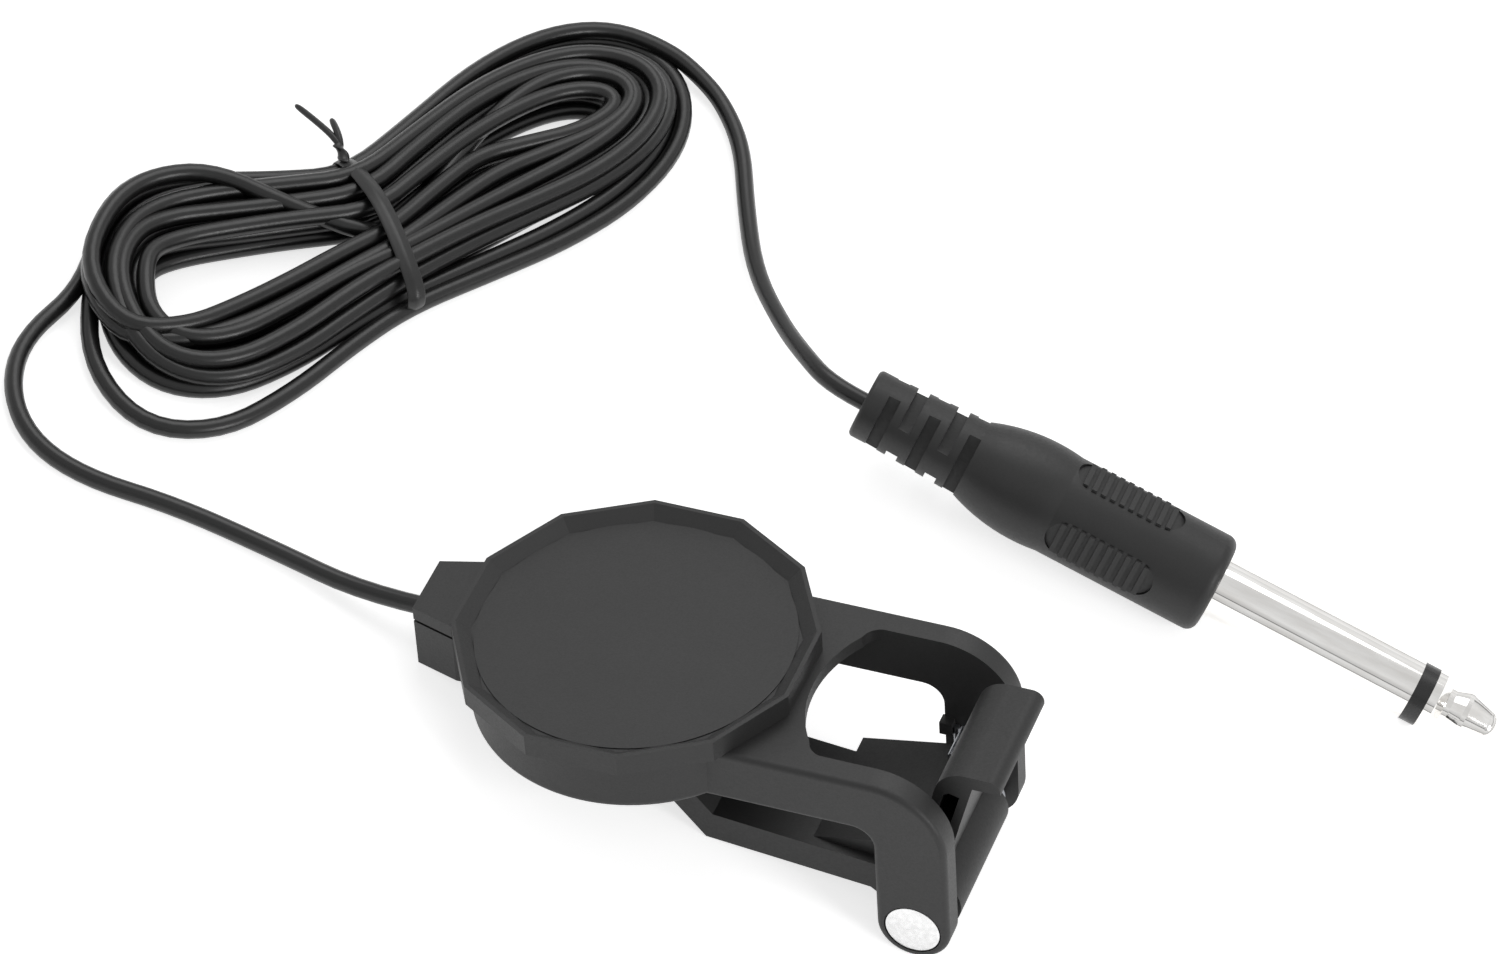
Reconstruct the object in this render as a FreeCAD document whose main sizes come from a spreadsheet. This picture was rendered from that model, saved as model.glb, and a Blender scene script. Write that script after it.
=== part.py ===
import FreeCAD, Part
import math
import os
import Sketcher

# Clip-on piezo pickup: a twelve-sided sensor housing whose base runs out into two arms and legs,
# a sprung lever on a rivet between the legs, a thin tied-up lead and a moulded 6.35 mm mono plug.
# The clip is drawn in its own frame (X from the cable entry to the legs, Z out of the cap, zero at
# the centre of the cap's rim) and the plug in its own (X along the axis to the tip, zero at the
# moulding's front face). Both are then set down on the surface that they lie on, at z = 0.

SIZES = [
    ("cap_flats", 34.9, "cap, across opposite flats"),
    ("cap_skirt", 2.4, "cap, height of the twelve-sided skirt"),
    ("cap_rim", 0.45, "cap, width of the flat rim round the dish"),
    ("dish_run", 1.35, "cap, width of the sloped facets inside the rim"),
    ("dish_deep", 1.1, "cap, depth at the foot of the facets"),
    ("plate_rad", 15.75, "cap, radius of the round plate in the dish"),
    ("plate_rise", 0.1, "cap, how far the plate stands above the facets' foot"),
    ("cap_top_wall", 1.2, "cap, thickness under the dish"),
    ("spigot_wall", 1.0, "cap, thickness of the ring that locates it in the base"),
    ("spigot_deep", 1.5, "cap, depth of that ring"),
    ("spigot_gap", 0.1, "cap, clearance of that ring in the base"),
    ("base_rad", 16.5, "base, radius of the round pan"),
    ("base_low", 8.4, "base, underside below the cap's rim"),
    ("base_floor", 1.5, "base, thickness of its floor"),
    ("base_wall", 1.6, "base, thickness of its round wall"),
    ("base_round", 0.8, "base, rounding of its lower edge"),
    ("seat_high", 0.8, "base, height of the ledge that the piezo disc lies on"),
    ("seat_wide", 2.2, "base, width of that ledge"),
    ("entry_reach", 22.0, "cable entry, distance of its end from the housing's centre"),
    ("entry_half", 3.5, "cable entry, half width at its end"),
    ("entry_root", 4.8, "cable entry, half width at the housing"),
    ("entry_drop", 0.65, "cable entry, top below the cap's rim"),
    ("entry_low", 7.95, "cable entry, underside below the cap's rim"),
    ("entry_groove", 0.3, "cable entry, height and depth of the groove at its parting line"),
    ("entry_bore_z", 3.7, "cable entry, axis of the cable below the cap's rim"),
    ("frame_half", 11.8, "frame, half width over the arms"),
    ("frame_thick", 2.7, "frame, thickness of an arm and its leg"),
    ("frame_tall", 6.0, "frame, height of an arm"),
    ("frame_corner", 7.6, "frame, outer radius of the bend into the leg"),
    ("frame_inner", 2.2, "frame, inner radius of that bend"),
    ("frame_edge", 0.6, "frame, rounding of its outer edges"),
    ("window_rad", 13.4, "frame, radius of the window's end towards the housing"),
    ("window_end", 18.2, "frame, end of the window towards the housing"),
    ("window_corner", 1.6, "frame, rounding of the window's two corners there"),
    ("web_thick", 1.4, "frame, thickness of the web round that end"),
    ("leg_wide", 7.4, "frame, width of a leg"),
    ("pin_x", 31.8, "pivot, distance from the housing's centre"),
    ("pin_z", 20.5, "pivot, depth below the cap's rim"),
    ("pin_rad", 1.6, "pivot pin, radius of its shank"),
    ("pin_head_rad", 2.75, "pivot pin, radius of its domed head"),
    ("pin_head_high", 0.9, "pivot pin, height of its head"),
    ("pin_sink", 0.35, "pivot pin, depth of the recess under its head"),
    ("pin_run", 0.05, "pivot pin, radial clearance in the lever"),
    ("pin_fit", 0.01, "pivot pin, radial clearance in the legs"),
    ("washer_rad", 2.9, "retaining washer, radius"),
    ("washer_thick", 0.4, "retaining washer, thickness"),
    ("pin_tail", 0.15, "pivot pin, end that stands out of the washer"),
    ("hub_rad", 3.5, "lever, radius of its hub"),
    ("hub_side", 2.5, "lever, room for the spring between its hub and the far leg"),
    ("hub_near", 1.5, "lever, gap between its hub and the near leg"),
    ("jaw_side", 0.35, "lever, gap between the jaw plate's side and the near leg"),
    ("jaw_far", 4.6, "lever, far side of the jaw plate from the clip's middle"),
    ("jaw_knee_x", 9.6, "lever, underside of the bend, from the housing's centre"),
    ("jaw_knee_z", 17.4, "lever, underside of the bend, below the cap's rim"),
    ("jaw_heel_x", 27.4, "lever, end of the wide jaw plate"),
    ("jaw_slope", 6.0, "lever, fall of the jaw plate towards the hub, degrees"),
    ("jaw_thick", 3.3, "lever, thickness of the jaw plate"),
    ("nose_slope", 51.0, "lever, slope of the upturned nose, degrees"),
    ("nose_thick", 2.7, "lever, thickness of the nose"),
    ("pad_gap", 0.3, "gap between the closed jaw pad and the contact pad"),
    ("jaw_pad_thick", 1.0, "jaw pad, thickness"),
    ("jaw_pad_edge", 0.6, "jaw pad, bare strip of the nose at both its ends"),
    ("contact_rad", 11.5, "contact pad under the base, radius"),
    ("contact_thick", 1.0, "contact pad, thickness"),
    ("tab_near", 1.8, "lever, gap between the thumb tab's head and the near leg"),
    ("tab_far", 3.25, "lever, gap between the thumb tab's head and the far leg"),
    ("tab_wall", 0.9, "lever, wall of the tab's hollow head"),
    ("tab_lean", 15.0, "lever, lean of the thumb tab, degrees"),
    ("tab_thick", 3.4, "lever, thickness of the thumb tab"),
    ("tab_top", 2.75, "lever, top of the thumb tab below the cap's rim"),
    ("tab_reach", 7.8, "lever, end of the tab's lip beyond the pivot"),
    ("tab_lip", 1.5, "lever, thickness of the tab's lip"),
    ("tab_crown", 3.2, "lever, rounding of the tab's crown"),
    ("ramp_run", 7.0, "lever, length of the ramp at the foot of the tab"),
    ("ramp_high", 7.0, "lever, where the ramp meets the tab, above the pivot"),
    ("wire_dia", 0.7, "torsion spring, wire diameter"),
    ("coil_rad", 2.3, "torsion spring, mean radius of its coil"),
    ("spring_gap", 0.15, "torsion spring, gap beside its coil"),
    ("spring_arm", 8.2, "torsion spring, length of its arms"),
    ("stop_wide", 1.3, "spring stop on the leg, width"),
    ("stop_tall", 1.5, "spring stop on the leg, height"),
    ("brass_rad", 13.5, "piezo element, radius of the brass disc"),
    ("brass_thick", 0.3, "piezo element, thickness of the brass disc"),
    ("crystal_rad", 10.0, "piezo element, radius of the ceramic layer"),
    ("crystal_thick", 0.25, "piezo element, thickness of the ceramic layer"),
    ("foam_rad", 7.0, "foam damper, radius"),
    ("solder_rad", 0.9, "solder blobs, radius"),
    ("core_dia", 0.8, "insulated cores of the cable, diameter"),
    ("cable_dia", 1.9, "cable, diameter"),
    ("clamp_long", 1.6, "cable clamp ring inside the entry, length"),
    ("clamp_set", 3.2, "cable clamp ring, distance of its middle from the entry's end"),
    ("clamp_rad", 1.7, "cable clamp ring, radius"),
    ("coil_high", 6.5, "tied cable, height of its turns"),
    ("tie_wide", 2.2, "twist tie, width"),
    ("tie_thick", 0.6, "twist tie, thickness"),
    ("tie_span", 19.5, "twist tie, width of the bundle inside it"),
    ("tie_tail", 1.1, "twist tie, diameter of its twisted tails"),
    ("sleeve_dia", 6.35, "plug, diameter of its sleeve"),
    ("sleeve_long", 22.4, "plug, sleeve beyond the moulding"),
    ("sleeve_wall", 0.9, "plug, wall of the sleeve"),
    ("sleeve_root", 6.0, "plug, sleeve inside the moulding"),
    ("sleeve_neck", 2.9, "plug, radius of the sleeve's neck in the moulding"),
    ("collar_rad", 4.0, "plug, radius of the sleeve's collar in the moulding"),
    ("collar_thick", 1.2, "plug, thickness of that collar"),
    ("ring_long", 1.7, "plug, length of the insulating ring"),
    ("tip_end", 31.75, "plug, tip beyond the moulding"),
    ("tip_bulge", 2.65, "plug, radius of the bulge behind the tip's point"),
    ("tip_neck", 2.15, "plug, radius of the tip's neck"),
    ("rod_dia", 2.6, "plug, rod that carries the tip"),
    ("lug_thick", 0.4, "plug, thickness of its solder lugs"),
    ("lug_wide", 2.6, "plug, width of its solder lugs"),
    ("lug_long", 5.0, "plug, length of its solder lugs"),
    ("grip_rad", 5.3, "plug, radius of the moulding at its front"),
    ("waist_rad", 4.15, "plug, radius of the moulding behind the boot's last slot"),
    ("grip_long", 28.0, "plug, length of the moulding's grip"),
    ("grip_full", 18.0, "plug, length of the grip before it narrows towards the boot"),
    ("grip_round", 1.2, "plug, rounding of the grip's front edge"),
    ("face_rad", 3.8, "plug, radius of the recess round the sleeve"),
    ("face_sink", 0.5, "plug, depth of the recess round the sleeve"),
    ("boot_rear_rad", 3.7, "plug, radius of the boot's rear end"),
    ("boot_block", 2.05, "plug, length of the boot's solid rear end"),
    ("slot_wide", 1.3, "plug, width of a slot in the boot"),
    ("slot_pitch", 2.25, "plug, pitch of the slots"),
    ("boot_web", 3.2, "plug, width of the webs across a slot"),
    ("panel_set", 5.9, "plug, distance of the grip panels from the front face"),
    ("panel_long", 12.0, "plug, length of a ribbed grip panel"),
    ("panel_wide", 4.4, "plug, width of a ribbed grip panel"),
    ("panel_deep", 0.45, "plug, depth of a grip panel"),
    ("panel_rib", 0.55, "plug, width of a rib in a panel"),
]
SLOTS = 5
PANEL_RIBS = 11

doc = FreeCAD.newDocument("piezo_pickup")
sheet = doc.addObject("Spreadsheet::Sheet", "Sizes")
for row, (alias, value, note) in enumerate(SIZES, start=1):
    sheet.set(f"A{row}", note)
    sheet.set(f"B{row}", str(value))
    sheet.setAlias(f"B{row}", alias)
doc.recompute()


class Size:
    """A number together with the sheet expression that it comes from."""

    def __init__(self, text, number):
        self.text = text
        self.number = float(number)

    def join(self, sign, other, number):
        return Size(f"({self.text} {sign} {as_size(other).text})", number)

    def __add__(self, other):
        return self.join("+", other, self.number + as_size(other).number)

    def __sub__(self, other):
        return self.join("-", other, self.number - as_size(other).number)

    def __mul__(self, other):
        return self.join("*", other, self.number * as_size(other).number)

    def __truediv__(self, other):
        return self.join("/", other, self.number / as_size(other).number)

    def __radd__(self, other):
        return as_size(other) + self

    def __rsub__(self, other):
        return as_size(other) - self

    def __rmul__(self, other):
        return as_size(other) * self

    def __neg__(self):
        return Size(f"(0 - {self.text})", -self.number)

    def __float__(self):
        return self.number


def as_size(value):
    if isinstance(value, Size):
        return value
    return Size(f"({value})" if value < 0 else str(value), value)


def sheet_function(name, number):
    def apply(value):
        value = as_size(value)
        return Size(f"{name}({value.text})", number(value.number))
    return apply


root = sheet_function("sqrt", math.sqrt)
sine = sheet_function("sin", lambda angle: math.sin(math.radians(angle)))
cosine = sheet_function("cos", lambda angle: math.cos(math.radians(angle)))
tangent = sheet_function("tan", lambda angle: math.tan(math.radians(angle)))
S = {alias: Size(f"Sizes.{alias}", sheet.get(alias)) for alias, _, _ in SIZES}


def bind(thing, prop, size):
    size = as_size(size)
    setattr(thing, prop, size.number)
    thing.setExpression(prop, size.text)


def make_body(name):
    body = doc.addObject("PartDesign::Body", name)
    body.Label = name
    return body


def make_sketch(body, name, role, offset=0):
    """A sketch on one of the body's own origin planes, moved along the plane's normal."""
    sketch = body.newObject("Sketcher::SketchObject", name)
    plane = [item for item in body.Origin.OriginFeatures if item.Role == role][0]
    sketch.AttachmentSupport = [(plane, "")]
    sketch.MapMode = "FlatFace"
    offset = as_size(offset)
    sketch.AttachmentOffset.Base.z = offset.number
    sketch.setExpression(".AttachmentOffset.Base.z", offset.text)
    return sketch


def pin_point(sketch, geometry, end, across, up):
    for kind, size in (("DistanceX", across), ("DistanceY", up)):
        size = as_size(size)
        index = sketch.addConstraint(Sketcher.Constraint(kind, -1, 1, geometry, end, size.number))
        sketch.setExpression(f"Constraints[{index}]", size.text)


def draw_circle(sketch, across, up, radius):
    across, up, radius = as_size(across), as_size(up), as_size(radius)
    centre = FreeCAD.Vector(across.number, up.number, 0)
    circle = sketch.addGeometry(Part.Circle(centre, FreeCAD.Vector(0, 0, 1), radius.number), False)
    pin_point(sketch, circle, 3, across, up)
    index = sketch.addConstraint(Sketcher.Constraint("Radius", circle, radius.number))
    sketch.setExpression(f"Constraints[{index}]", radius.text)


def draw_outline(sketch, points):
    """A closed outline, anticlockwise. A third value on a point is the radius of the arc to the
    next point: positive bulges outwards, negative inwards."""
    ends = []
    corners = [(as_size(point[0]), as_size(point[1])) for point in points]
    for number, point in enumerate(points):
        here = FreeCAD.Vector(corners[number][0].number, corners[number][1].number, 0)
        there_sizes = corners[(number + 1) % len(points)]
        there = FreeCAD.Vector(there_sizes[0].number, there_sizes[1].number, 0)
        if len(point) == 2:
            line = sketch.addGeometry(Part.LineSegment(here, there), False)
            ends.append((line, 1, 2))
            continue
        radius = as_size(point[2])
        chord = there - here
        outward = 1 if radius.number > 0 else -1
        rise = math.sqrt(max(radius.number ** 2 - chord.Length ** 2 / 4, 0))
        left = FreeCAD.Vector(-chord.y, chord.x, 0).normalize()
        centre = (here + there) * 0.5 + left * rise * outward
        first = math.atan2(here.y - centre.y, here.x - centre.x)
        last = math.atan2(there.y - centre.y, there.x - centre.x)
        circle = Part.Circle(centre, FreeCAD.Vector(0, 0, 1), abs(radius.number))
        if outward > 0:
            arc = sketch.addGeometry(Part.ArcOfCircle(circle, first, last), False)
            ends.append((arc, 1, 2))
        else:
            arc = sketch.addGeometry(Part.ArcOfCircle(circle, last, first), False)
            ends.append((arc, 2, 1))
            radius = -radius
        index = sketch.addConstraint(Sketcher.Constraint("Radius", arc, radius.number))
        sketch.setExpression(f"Constraints[{index}]", radius.text)
    for number, (geometry, start, _) in enumerate(ends):
        before = ends[number - 1]
        sketch.addConstraint(Sketcher.Constraint("Coincident", before[0], before[2], geometry, start))
        pin_point(sketch, geometry, start, *corners[number])


def pad(body, name, sketch, length, middle=False, reverse=False):
    feature = body.newObject("PartDesign::Pad", name)
    feature.Profile = sketch
    feature.SideType = "Symmetric" if middle else "One side"
    feature.Reversed = reverse
    bind(feature, "Length", length)
    doc.recompute()
    return feature


def cut(body, name, sketch, length, middle=False, reverse=False):
    """A pocket that has to take something away."""
    before = body.Shape.Volume
    feature = body.newObject("PartDesign::Pocket", name)
    feature.Profile = sketch
    feature.SideType = "Symmetric" if middle else "One side"
    feature.Reversed = reverse
    bind(feature, "Length", length)
    doc.recompute()
    if body.Shape.Volume > before - 1e-6:
        raise RuntimeError(f"{name} cuts nothing from {body.Label}")
    return feature


def turn(body, name, sketch, role):
    """A full turn of a sketch about one of the body's own axes."""
    feature = body.newObject("PartDesign::Revolution", name)
    feature.Profile = sketch
    axis = [item for item in body.Origin.OriginFeatures if item.Role == role][0]
    feature.ReferenceAxis = (axis, [""])
    feature.Angle = 360
    doc.recompute()
    return feature


def round_edges(body, name, radius, chosen, kind="PartDesign::Fillet"):
    """Rounds or chamfers the edges that the test picks on the body as it stands."""
    base = body.Tip
    names = [f"Edge{i}" for i, edge in enumerate(base.Shape.Edges, start=1) if chosen(edge)]
    if not names:
        raise RuntimeError(f"{name} finds no edge on {body.Label}")
    feature = body.newObject(kind, name)
    feature.Base = (base, names)
    bind(feature, "Radius" if kind.endswith("Fillet") else "Size", radius)
    doc.recompute()
    return feature


def near(first, second, reach=0.02):
    return abs(float(first) - float(second)) < reach


def level_edge(edge, height):
    box = edge.BoundBox
    return near(box.ZMin, height) and near(box.ZMax, height)


def twelve_points(flats_half, turn_by=15):
    """Corners of a regular twelve-sided outline from half its width across flats."""
    corner = as_size(flats_half) / cosine(15)
    return [(corner * cosine(turn_by + 30 * k), corner * sine(turn_by + 30 * k)) for k in range(12)]


# Sizes that several pieces share, in the clip's frame
inner_rad = S["base_rad"] - S["base_wall"]
cavity_floor = S["base_low"] - S["base_floor"]
seat_level = cavity_floor - S["seat_high"]
ceiling = S["dish_deep"] + S["cap_top_wall"]
leg_left = S["pin_x"] - S["leg_wide"] / 2
leg_right = S["pin_x"] + S["leg_wide"] / 2
arm_low = S["cap_skirt"] + S["frame_tall"]
leg_inner = S["frame_half"] - S["frame_thick"]
hub_half = leg_inner - S["hub_side"]
hub_near = leg_inner - S["hub_near"]
jaw_near = leg_inner - S["jaw_side"]
tab_near = leg_inner - S["tab_near"]
tab_far = leg_inner - S["tab_far"]
frame_root = S["base_rad"] / 2
contact_level = S["base_low"] + S["contact_thick"]
nose_level = contact_level + S["pad_gap"] + S["jaw_pad_thick"]
bore_rad = S["cable_dia"] / 2 + 0.05
clamp_mid = S["clamp_set"] - S["entry_reach"]

# The clip stands on the round of its legs and on the lower edge of its cable entry
run_x = float(S["pin_x"] + S["entry_reach"])
run_z = float(S["entry_low"] - S["pin_z"])
foot_rad = float(S["leg_wide"]) / 2
tilt = -math.degrees(math.atan2(run_z, run_x)) + math.degrees(math.asin(foot_rad / math.hypot(run_x, run_z)))


def tilted(x, z):
    """Where a point of the clip's middle plane comes to lie, before the clip is moved to its place."""
    lean = math.radians(tilt)
    return x * math.cos(lean) - z * math.sin(lean), x * math.sin(lean) + z * math.cos(lean)


floor_level = tilted(float(S["pin_x"]), -float(S["pin_z"]))[1] - foot_rad
left_end = tilted(-float(S["entry_reach"]), -float(S["entry_drop"]))[0]
right_end = tilted(float(S["pin_x"]), -float(S["pin_z"]))[0] + foot_rad
clip_place = FreeCAD.Placement(
    FreeCAD.Vector(-(left_end + right_end) / 2, 0, -floor_level),
    FreeCAD.Rotation(FreeCAD.Vector(0, 1, 0), -tilt))


def housing_cap():
    """Twelve-sided cap with a dished top, a locating ring and the lid of the cable entry."""
    body = make_body("housing_cap")
    skirt = make_sketch(body, "CapSkirt", "XY_Plane")
    draw_outline(skirt, twelve_points(S["cap_flats"] / 2))
    pad(body, "CapPlate", skirt, S["cap_skirt"], reverse=True)
    lid = make_sketch(body, "EntryLid", "XY_Plane", -S["entry_drop"])
    draw_outline(lid, [
        (-S["entry_reach"], -S["entry_half"]),
        (-S["cap_flats"] / 2, -S["entry_root"]),
        (-S["base_rad"] + 2, -S["entry_root"]),
        (-S["base_rad"] + 2, S["entry_root"]),
        (-S["cap_flats"] / 2, S["entry_root"]),
        (-S["entry_reach"], S["entry_half"])])
    pad(body, "EntryTop", lid, S["cap_skirt"] - S["entry_drop"] - S["entry_groove"], reverse=True)
    seam = make_sketch(body, "EntrySeam", "XY_Plane", -S["cap_skirt"] + S["entry_groove"])
    draw_outline(seam, [
        (-S["entry_reach"] + S["entry_groove"], -S["entry_half"] + S["entry_groove"]),
        (-S["cap_flats"] / 2, -S["entry_root"] + S["entry_groove"]),
        (-S["base_rad"] + 2, -S["entry_root"] + S["entry_groove"]),
        (-S["base_rad"] + 2, S["entry_root"] - S["entry_groove"]),
        (-S["cap_flats"] / 2, S["entry_root"] - S["entry_groove"]),
        (-S["entry_reach"] + S["entry_groove"], S["entry_half"] - S["entry_groove"])])
    pad(body, "EntryGroove", seam, S["entry_groove"], reverse=True)
    ring = make_sketch(body, "RingOuter", "XY_Plane", -S["cap_skirt"])
    draw_circle(ring, 0, 0, inner_rad - S["spigot_gap"])
    pad(body, "LocatingRing", ring, S["spigot_deep"], reverse=True)
    hollow = make_sketch(body, "Underside", "XY_Plane", -(S["cap_skirt"] + S["spigot_deep"]))
    draw_circle(hollow, 0, 0, inner_rad - S["spigot_gap"] - S["spigot_wall"])
    cut(body, "Hollow", hollow, S["cap_skirt"] + S["spigot_deep"] - ceiling, reverse=True)
    notch = make_sketch(body, "CableNotch", "XY_Plane", -(S["cap_skirt"] + S["spigot_deep"]))
    draw_outline(notch, [
        (-S["base_rad"], -S["clamp_rad"] - 0.3),
        (-S["base_rad"] + 6, -S["clamp_rad"] - 0.3),
        (-S["base_rad"] + 6, S["clamp_rad"] + 0.3),
        (-S["base_rad"], S["clamp_rad"] + 0.3)])
    cut(body, "RingNotch", notch, S["spigot_deep"], reverse=True)
    roof = make_sketch(body, "ClampRoof", "XY_Plane", -S["cap_skirt"])
    draw_outline(roof, [
        (clamp_mid - S["clamp_long"] / 2, -S["clamp_rad"]),
        (clamp_mid + S["clamp_long"] / 2, -S["clamp_rad"]),
        (clamp_mid + S["clamp_long"] / 2, S["clamp_rad"]),
        (clamp_mid - S["clamp_long"] / 2, S["clamp_rad"])])
    cut(body, "ClampRecess", roof, S["cap_skirt"] - S["entry_bore_z"] + S["clamp_rad"], reverse=True)
    top = make_sketch(body, "DishTop", "XY_Plane")
    draw_outline(top, twelve_points(S["cap_flats"] / 2 - S["cap_rim"]))
    foot = make_sketch(body, "DishFoot", "XY_Plane", -S["dish_deep"])
    draw_outline(foot, twelve_points(S["cap_flats"] / 2 - S["cap_rim"] - S["dish_run"]))
    before = body.Shape.Volume
    dish = body.newObject("PartDesign::SubtractiveLoft", "Dish")
    dish.Profile = top
    dish.Sections = [foot]
    dish.Ruled = True
    doc.recompute()
    if body.Shape.Volume > before - 1:
        raise RuntimeError("the dish cuts nothing")
    plate = make_sketch(body, "RoundPlate", "XY_Plane", -S["dish_deep"])
    draw_circle(plate, 0, 0, S["plate_rad"])
    pad(body, "Plate", plate, S["plate_rise"])
    return body


def housing_base():
    """Round pan with the cable entry, the two arms and legs, and the seats inside."""
    body = make_body("housing_base")
    side = make_sketch(body, "ArmAndLeg", "XZ_Plane")
    draw_outline(side, [
        (frame_root, -S["cap_skirt"]),
        (frame_root, -arm_low),
        (leg_left - S["frame_inner"], -arm_low, -S["frame_inner"]),
        (leg_left, -arm_low - S["frame_inner"]),
        (leg_left, -S["pin_z"], S["leg_wide"] / 2),
        (S["pin_x"], -S["pin_z"] - S["leg_wide"] / 2, S["leg_wide"] / 2),
        (leg_right, -S["pin_z"]),
        (leg_right, -S["cap_skirt"] - S["frame_corner"], S["frame_corner"]),
        (leg_right - S["frame_corner"], -S["cap_skirt"])])
    pad(body, "Frame", side, S["frame_half"] * 2, middle=True)
    between = make_sketch(body, "BetweenLegs", "XY_Plane", -S["cap_skirt"] + 1)
    inside_pan = root(S["base_rad"] * S["base_rad"] - leg_inner * leg_inner) - 0.7
    draw_outline(between, [
        (inside_pan, -leg_inner),
        (leg_right + 5, -leg_inner),
        (leg_right + 5, leg_inner),
        (inside_pan, leg_inner)])
    cut(body, "Window", between, S["pin_z"] + 10)

    def outer_edge(edge):
        box = edge.BoundBox
        on_side = near(abs(box.YMin), S["frame_half"]) and near(abs(box.YMax), S["frame_half"])
        return on_side and box.XMax > float(frame_root) + 0.1
    round_edges(body, "FrameRound", S["frame_edge"], outer_edge)

    pan = make_sketch(body, "PanProfile", "XZ_Plane")
    draw_outline(pan, [
        (0, -S["base_low"]),
        (S["base_rad"] - S["base_round"], -S["base_low"], S["base_round"]),
        (S["base_rad"], -S["base_low"] + S["base_round"]),
        (S["base_rad"], -S["cap_skirt"]),
        (0, -S["cap_skirt"])])
    turn(body, "Pan", pan, "Z_Axis")
    entry = make_sketch(body, "EntryOutline", "XY_Plane", -S["cap_skirt"])
    draw_outline(entry, [
        (-S["entry_reach"], -S["entry_half"]),
        (-S["cap_flats"] / 2, -S["entry_root"]),
        (-inner_rad, -S["entry_root"]),
        (-inner_rad, S["entry_root"]),
        (-S["cap_flats"] / 2, S["entry_root"]),
        (-S["entry_reach"], S["entry_half"])])
    pad(body, "Entry", entry, S["entry_low"] - S["cap_skirt"], reverse=True)
    corner_y = leg_inner - S["window_corner"]
    corner_x = S["window_end"] + S["window_rad"] - root(S["window_rad"] * S["window_rad"] - corner_y * corner_y)
    arm_x = corner_x + S["window_corner"]
    corner_rad = S["window_corner"] * 1.3
    web = make_sketch(body, "WebOutline", "XY_Plane", -S["cap_skirt"])
    draw_outline(web, [
        (frame_root, -leg_inner),
        (arm_x, -leg_inner, -corner_rad),
        (corner_x, -corner_y, -S["window_rad"]),
        (corner_x, corner_y, -corner_rad),
        (arm_x, leg_inner),
        (frame_root, leg_inner)])
    pad(body, "Web", web, S["web_thick"], reverse=True)
    pocket = make_sketch(body, "PanHollow", "XY_Plane", -S["cap_skirt"])
    draw_circle(pocket, 0, 0, inner_rad)
    cut(body, "Cavity", pocket, seat_level - S["cap_skirt"])
    well = make_sketch(body, "SeatWell", "XY_Plane", -seat_level)
    draw_circle(well, 0, 0, inner_rad - S["seat_wide"])
    cut(body, "Well", well, S["seat_high"])

    bore = make_sketch(body, "CableBore", "YZ_Plane", -S["entry_reach"] - 1)
    draw_circle(bore, 0, -S["entry_bore_z"], bore_rad)
    cut(body, "Bore", bore, S["entry_reach"] + 1 - inner_rad + 1, reverse=True)
    slot = make_sketch(body, "ClampSlot", "XY_Plane", -S["cap_skirt"])
    draw_outline(slot, [
        (clamp_mid - S["clamp_long"] / 2, -S["clamp_rad"]),
        (clamp_mid + S["clamp_long"] / 2, -S["clamp_rad"]),
        (clamp_mid + S["clamp_long"] / 2, S["clamp_rad"]),
        (clamp_mid - S["clamp_long"] / 2, S["clamp_rad"])])
    cut(body, "ClampSeat", slot, S["entry_bore_z"] + S["clamp_rad"] - S["cap_skirt"])

    holes = make_sketch(body, "PinBore", "XZ_Plane")
    draw_circle(holes, S["pin_x"], -S["pin_z"], S["pin_rad"] + S["pin_fit"])
    cut(body, "PinHoles", holes, S["frame_half"] * 2 + 2, middle=True)
    sink = make_sketch(body, "HeadRecess", "XZ_Plane", S["frame_half"] + 1)
    draw_circle(sink, S["pin_x"], -S["pin_z"], S["pin_head_rad"] + 0.15)
    cut(body, "HeadSink", sink, S["pin_sink"] + 1)
    stop = make_sketch(body, "StopOutline", "XZ_Plane", -leg_inner - 0.2)
    stop_left = S["pin_x"] - S["coil_rad"] - S["wire_dia"] / 2 - S["stop_wide"]
    draw_outline(stop, [
        (stop_left, -S["pin_z"] + S["spring_arm"]),
        (stop_left, -S["pin_z"] + S["spring_arm"] - S["stop_tall"]),
        (stop_left + S["stop_wide"], -S["pin_z"] + S["spring_arm"] - S["stop_tall"]),
        (stop_left + S["stop_wide"], -S["pin_z"] + S["spring_arm"])])
    pad(body, "SpringStop", stop, S["wire_dia"] + S["spring_gap"] + 0.4)
    return body


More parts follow.
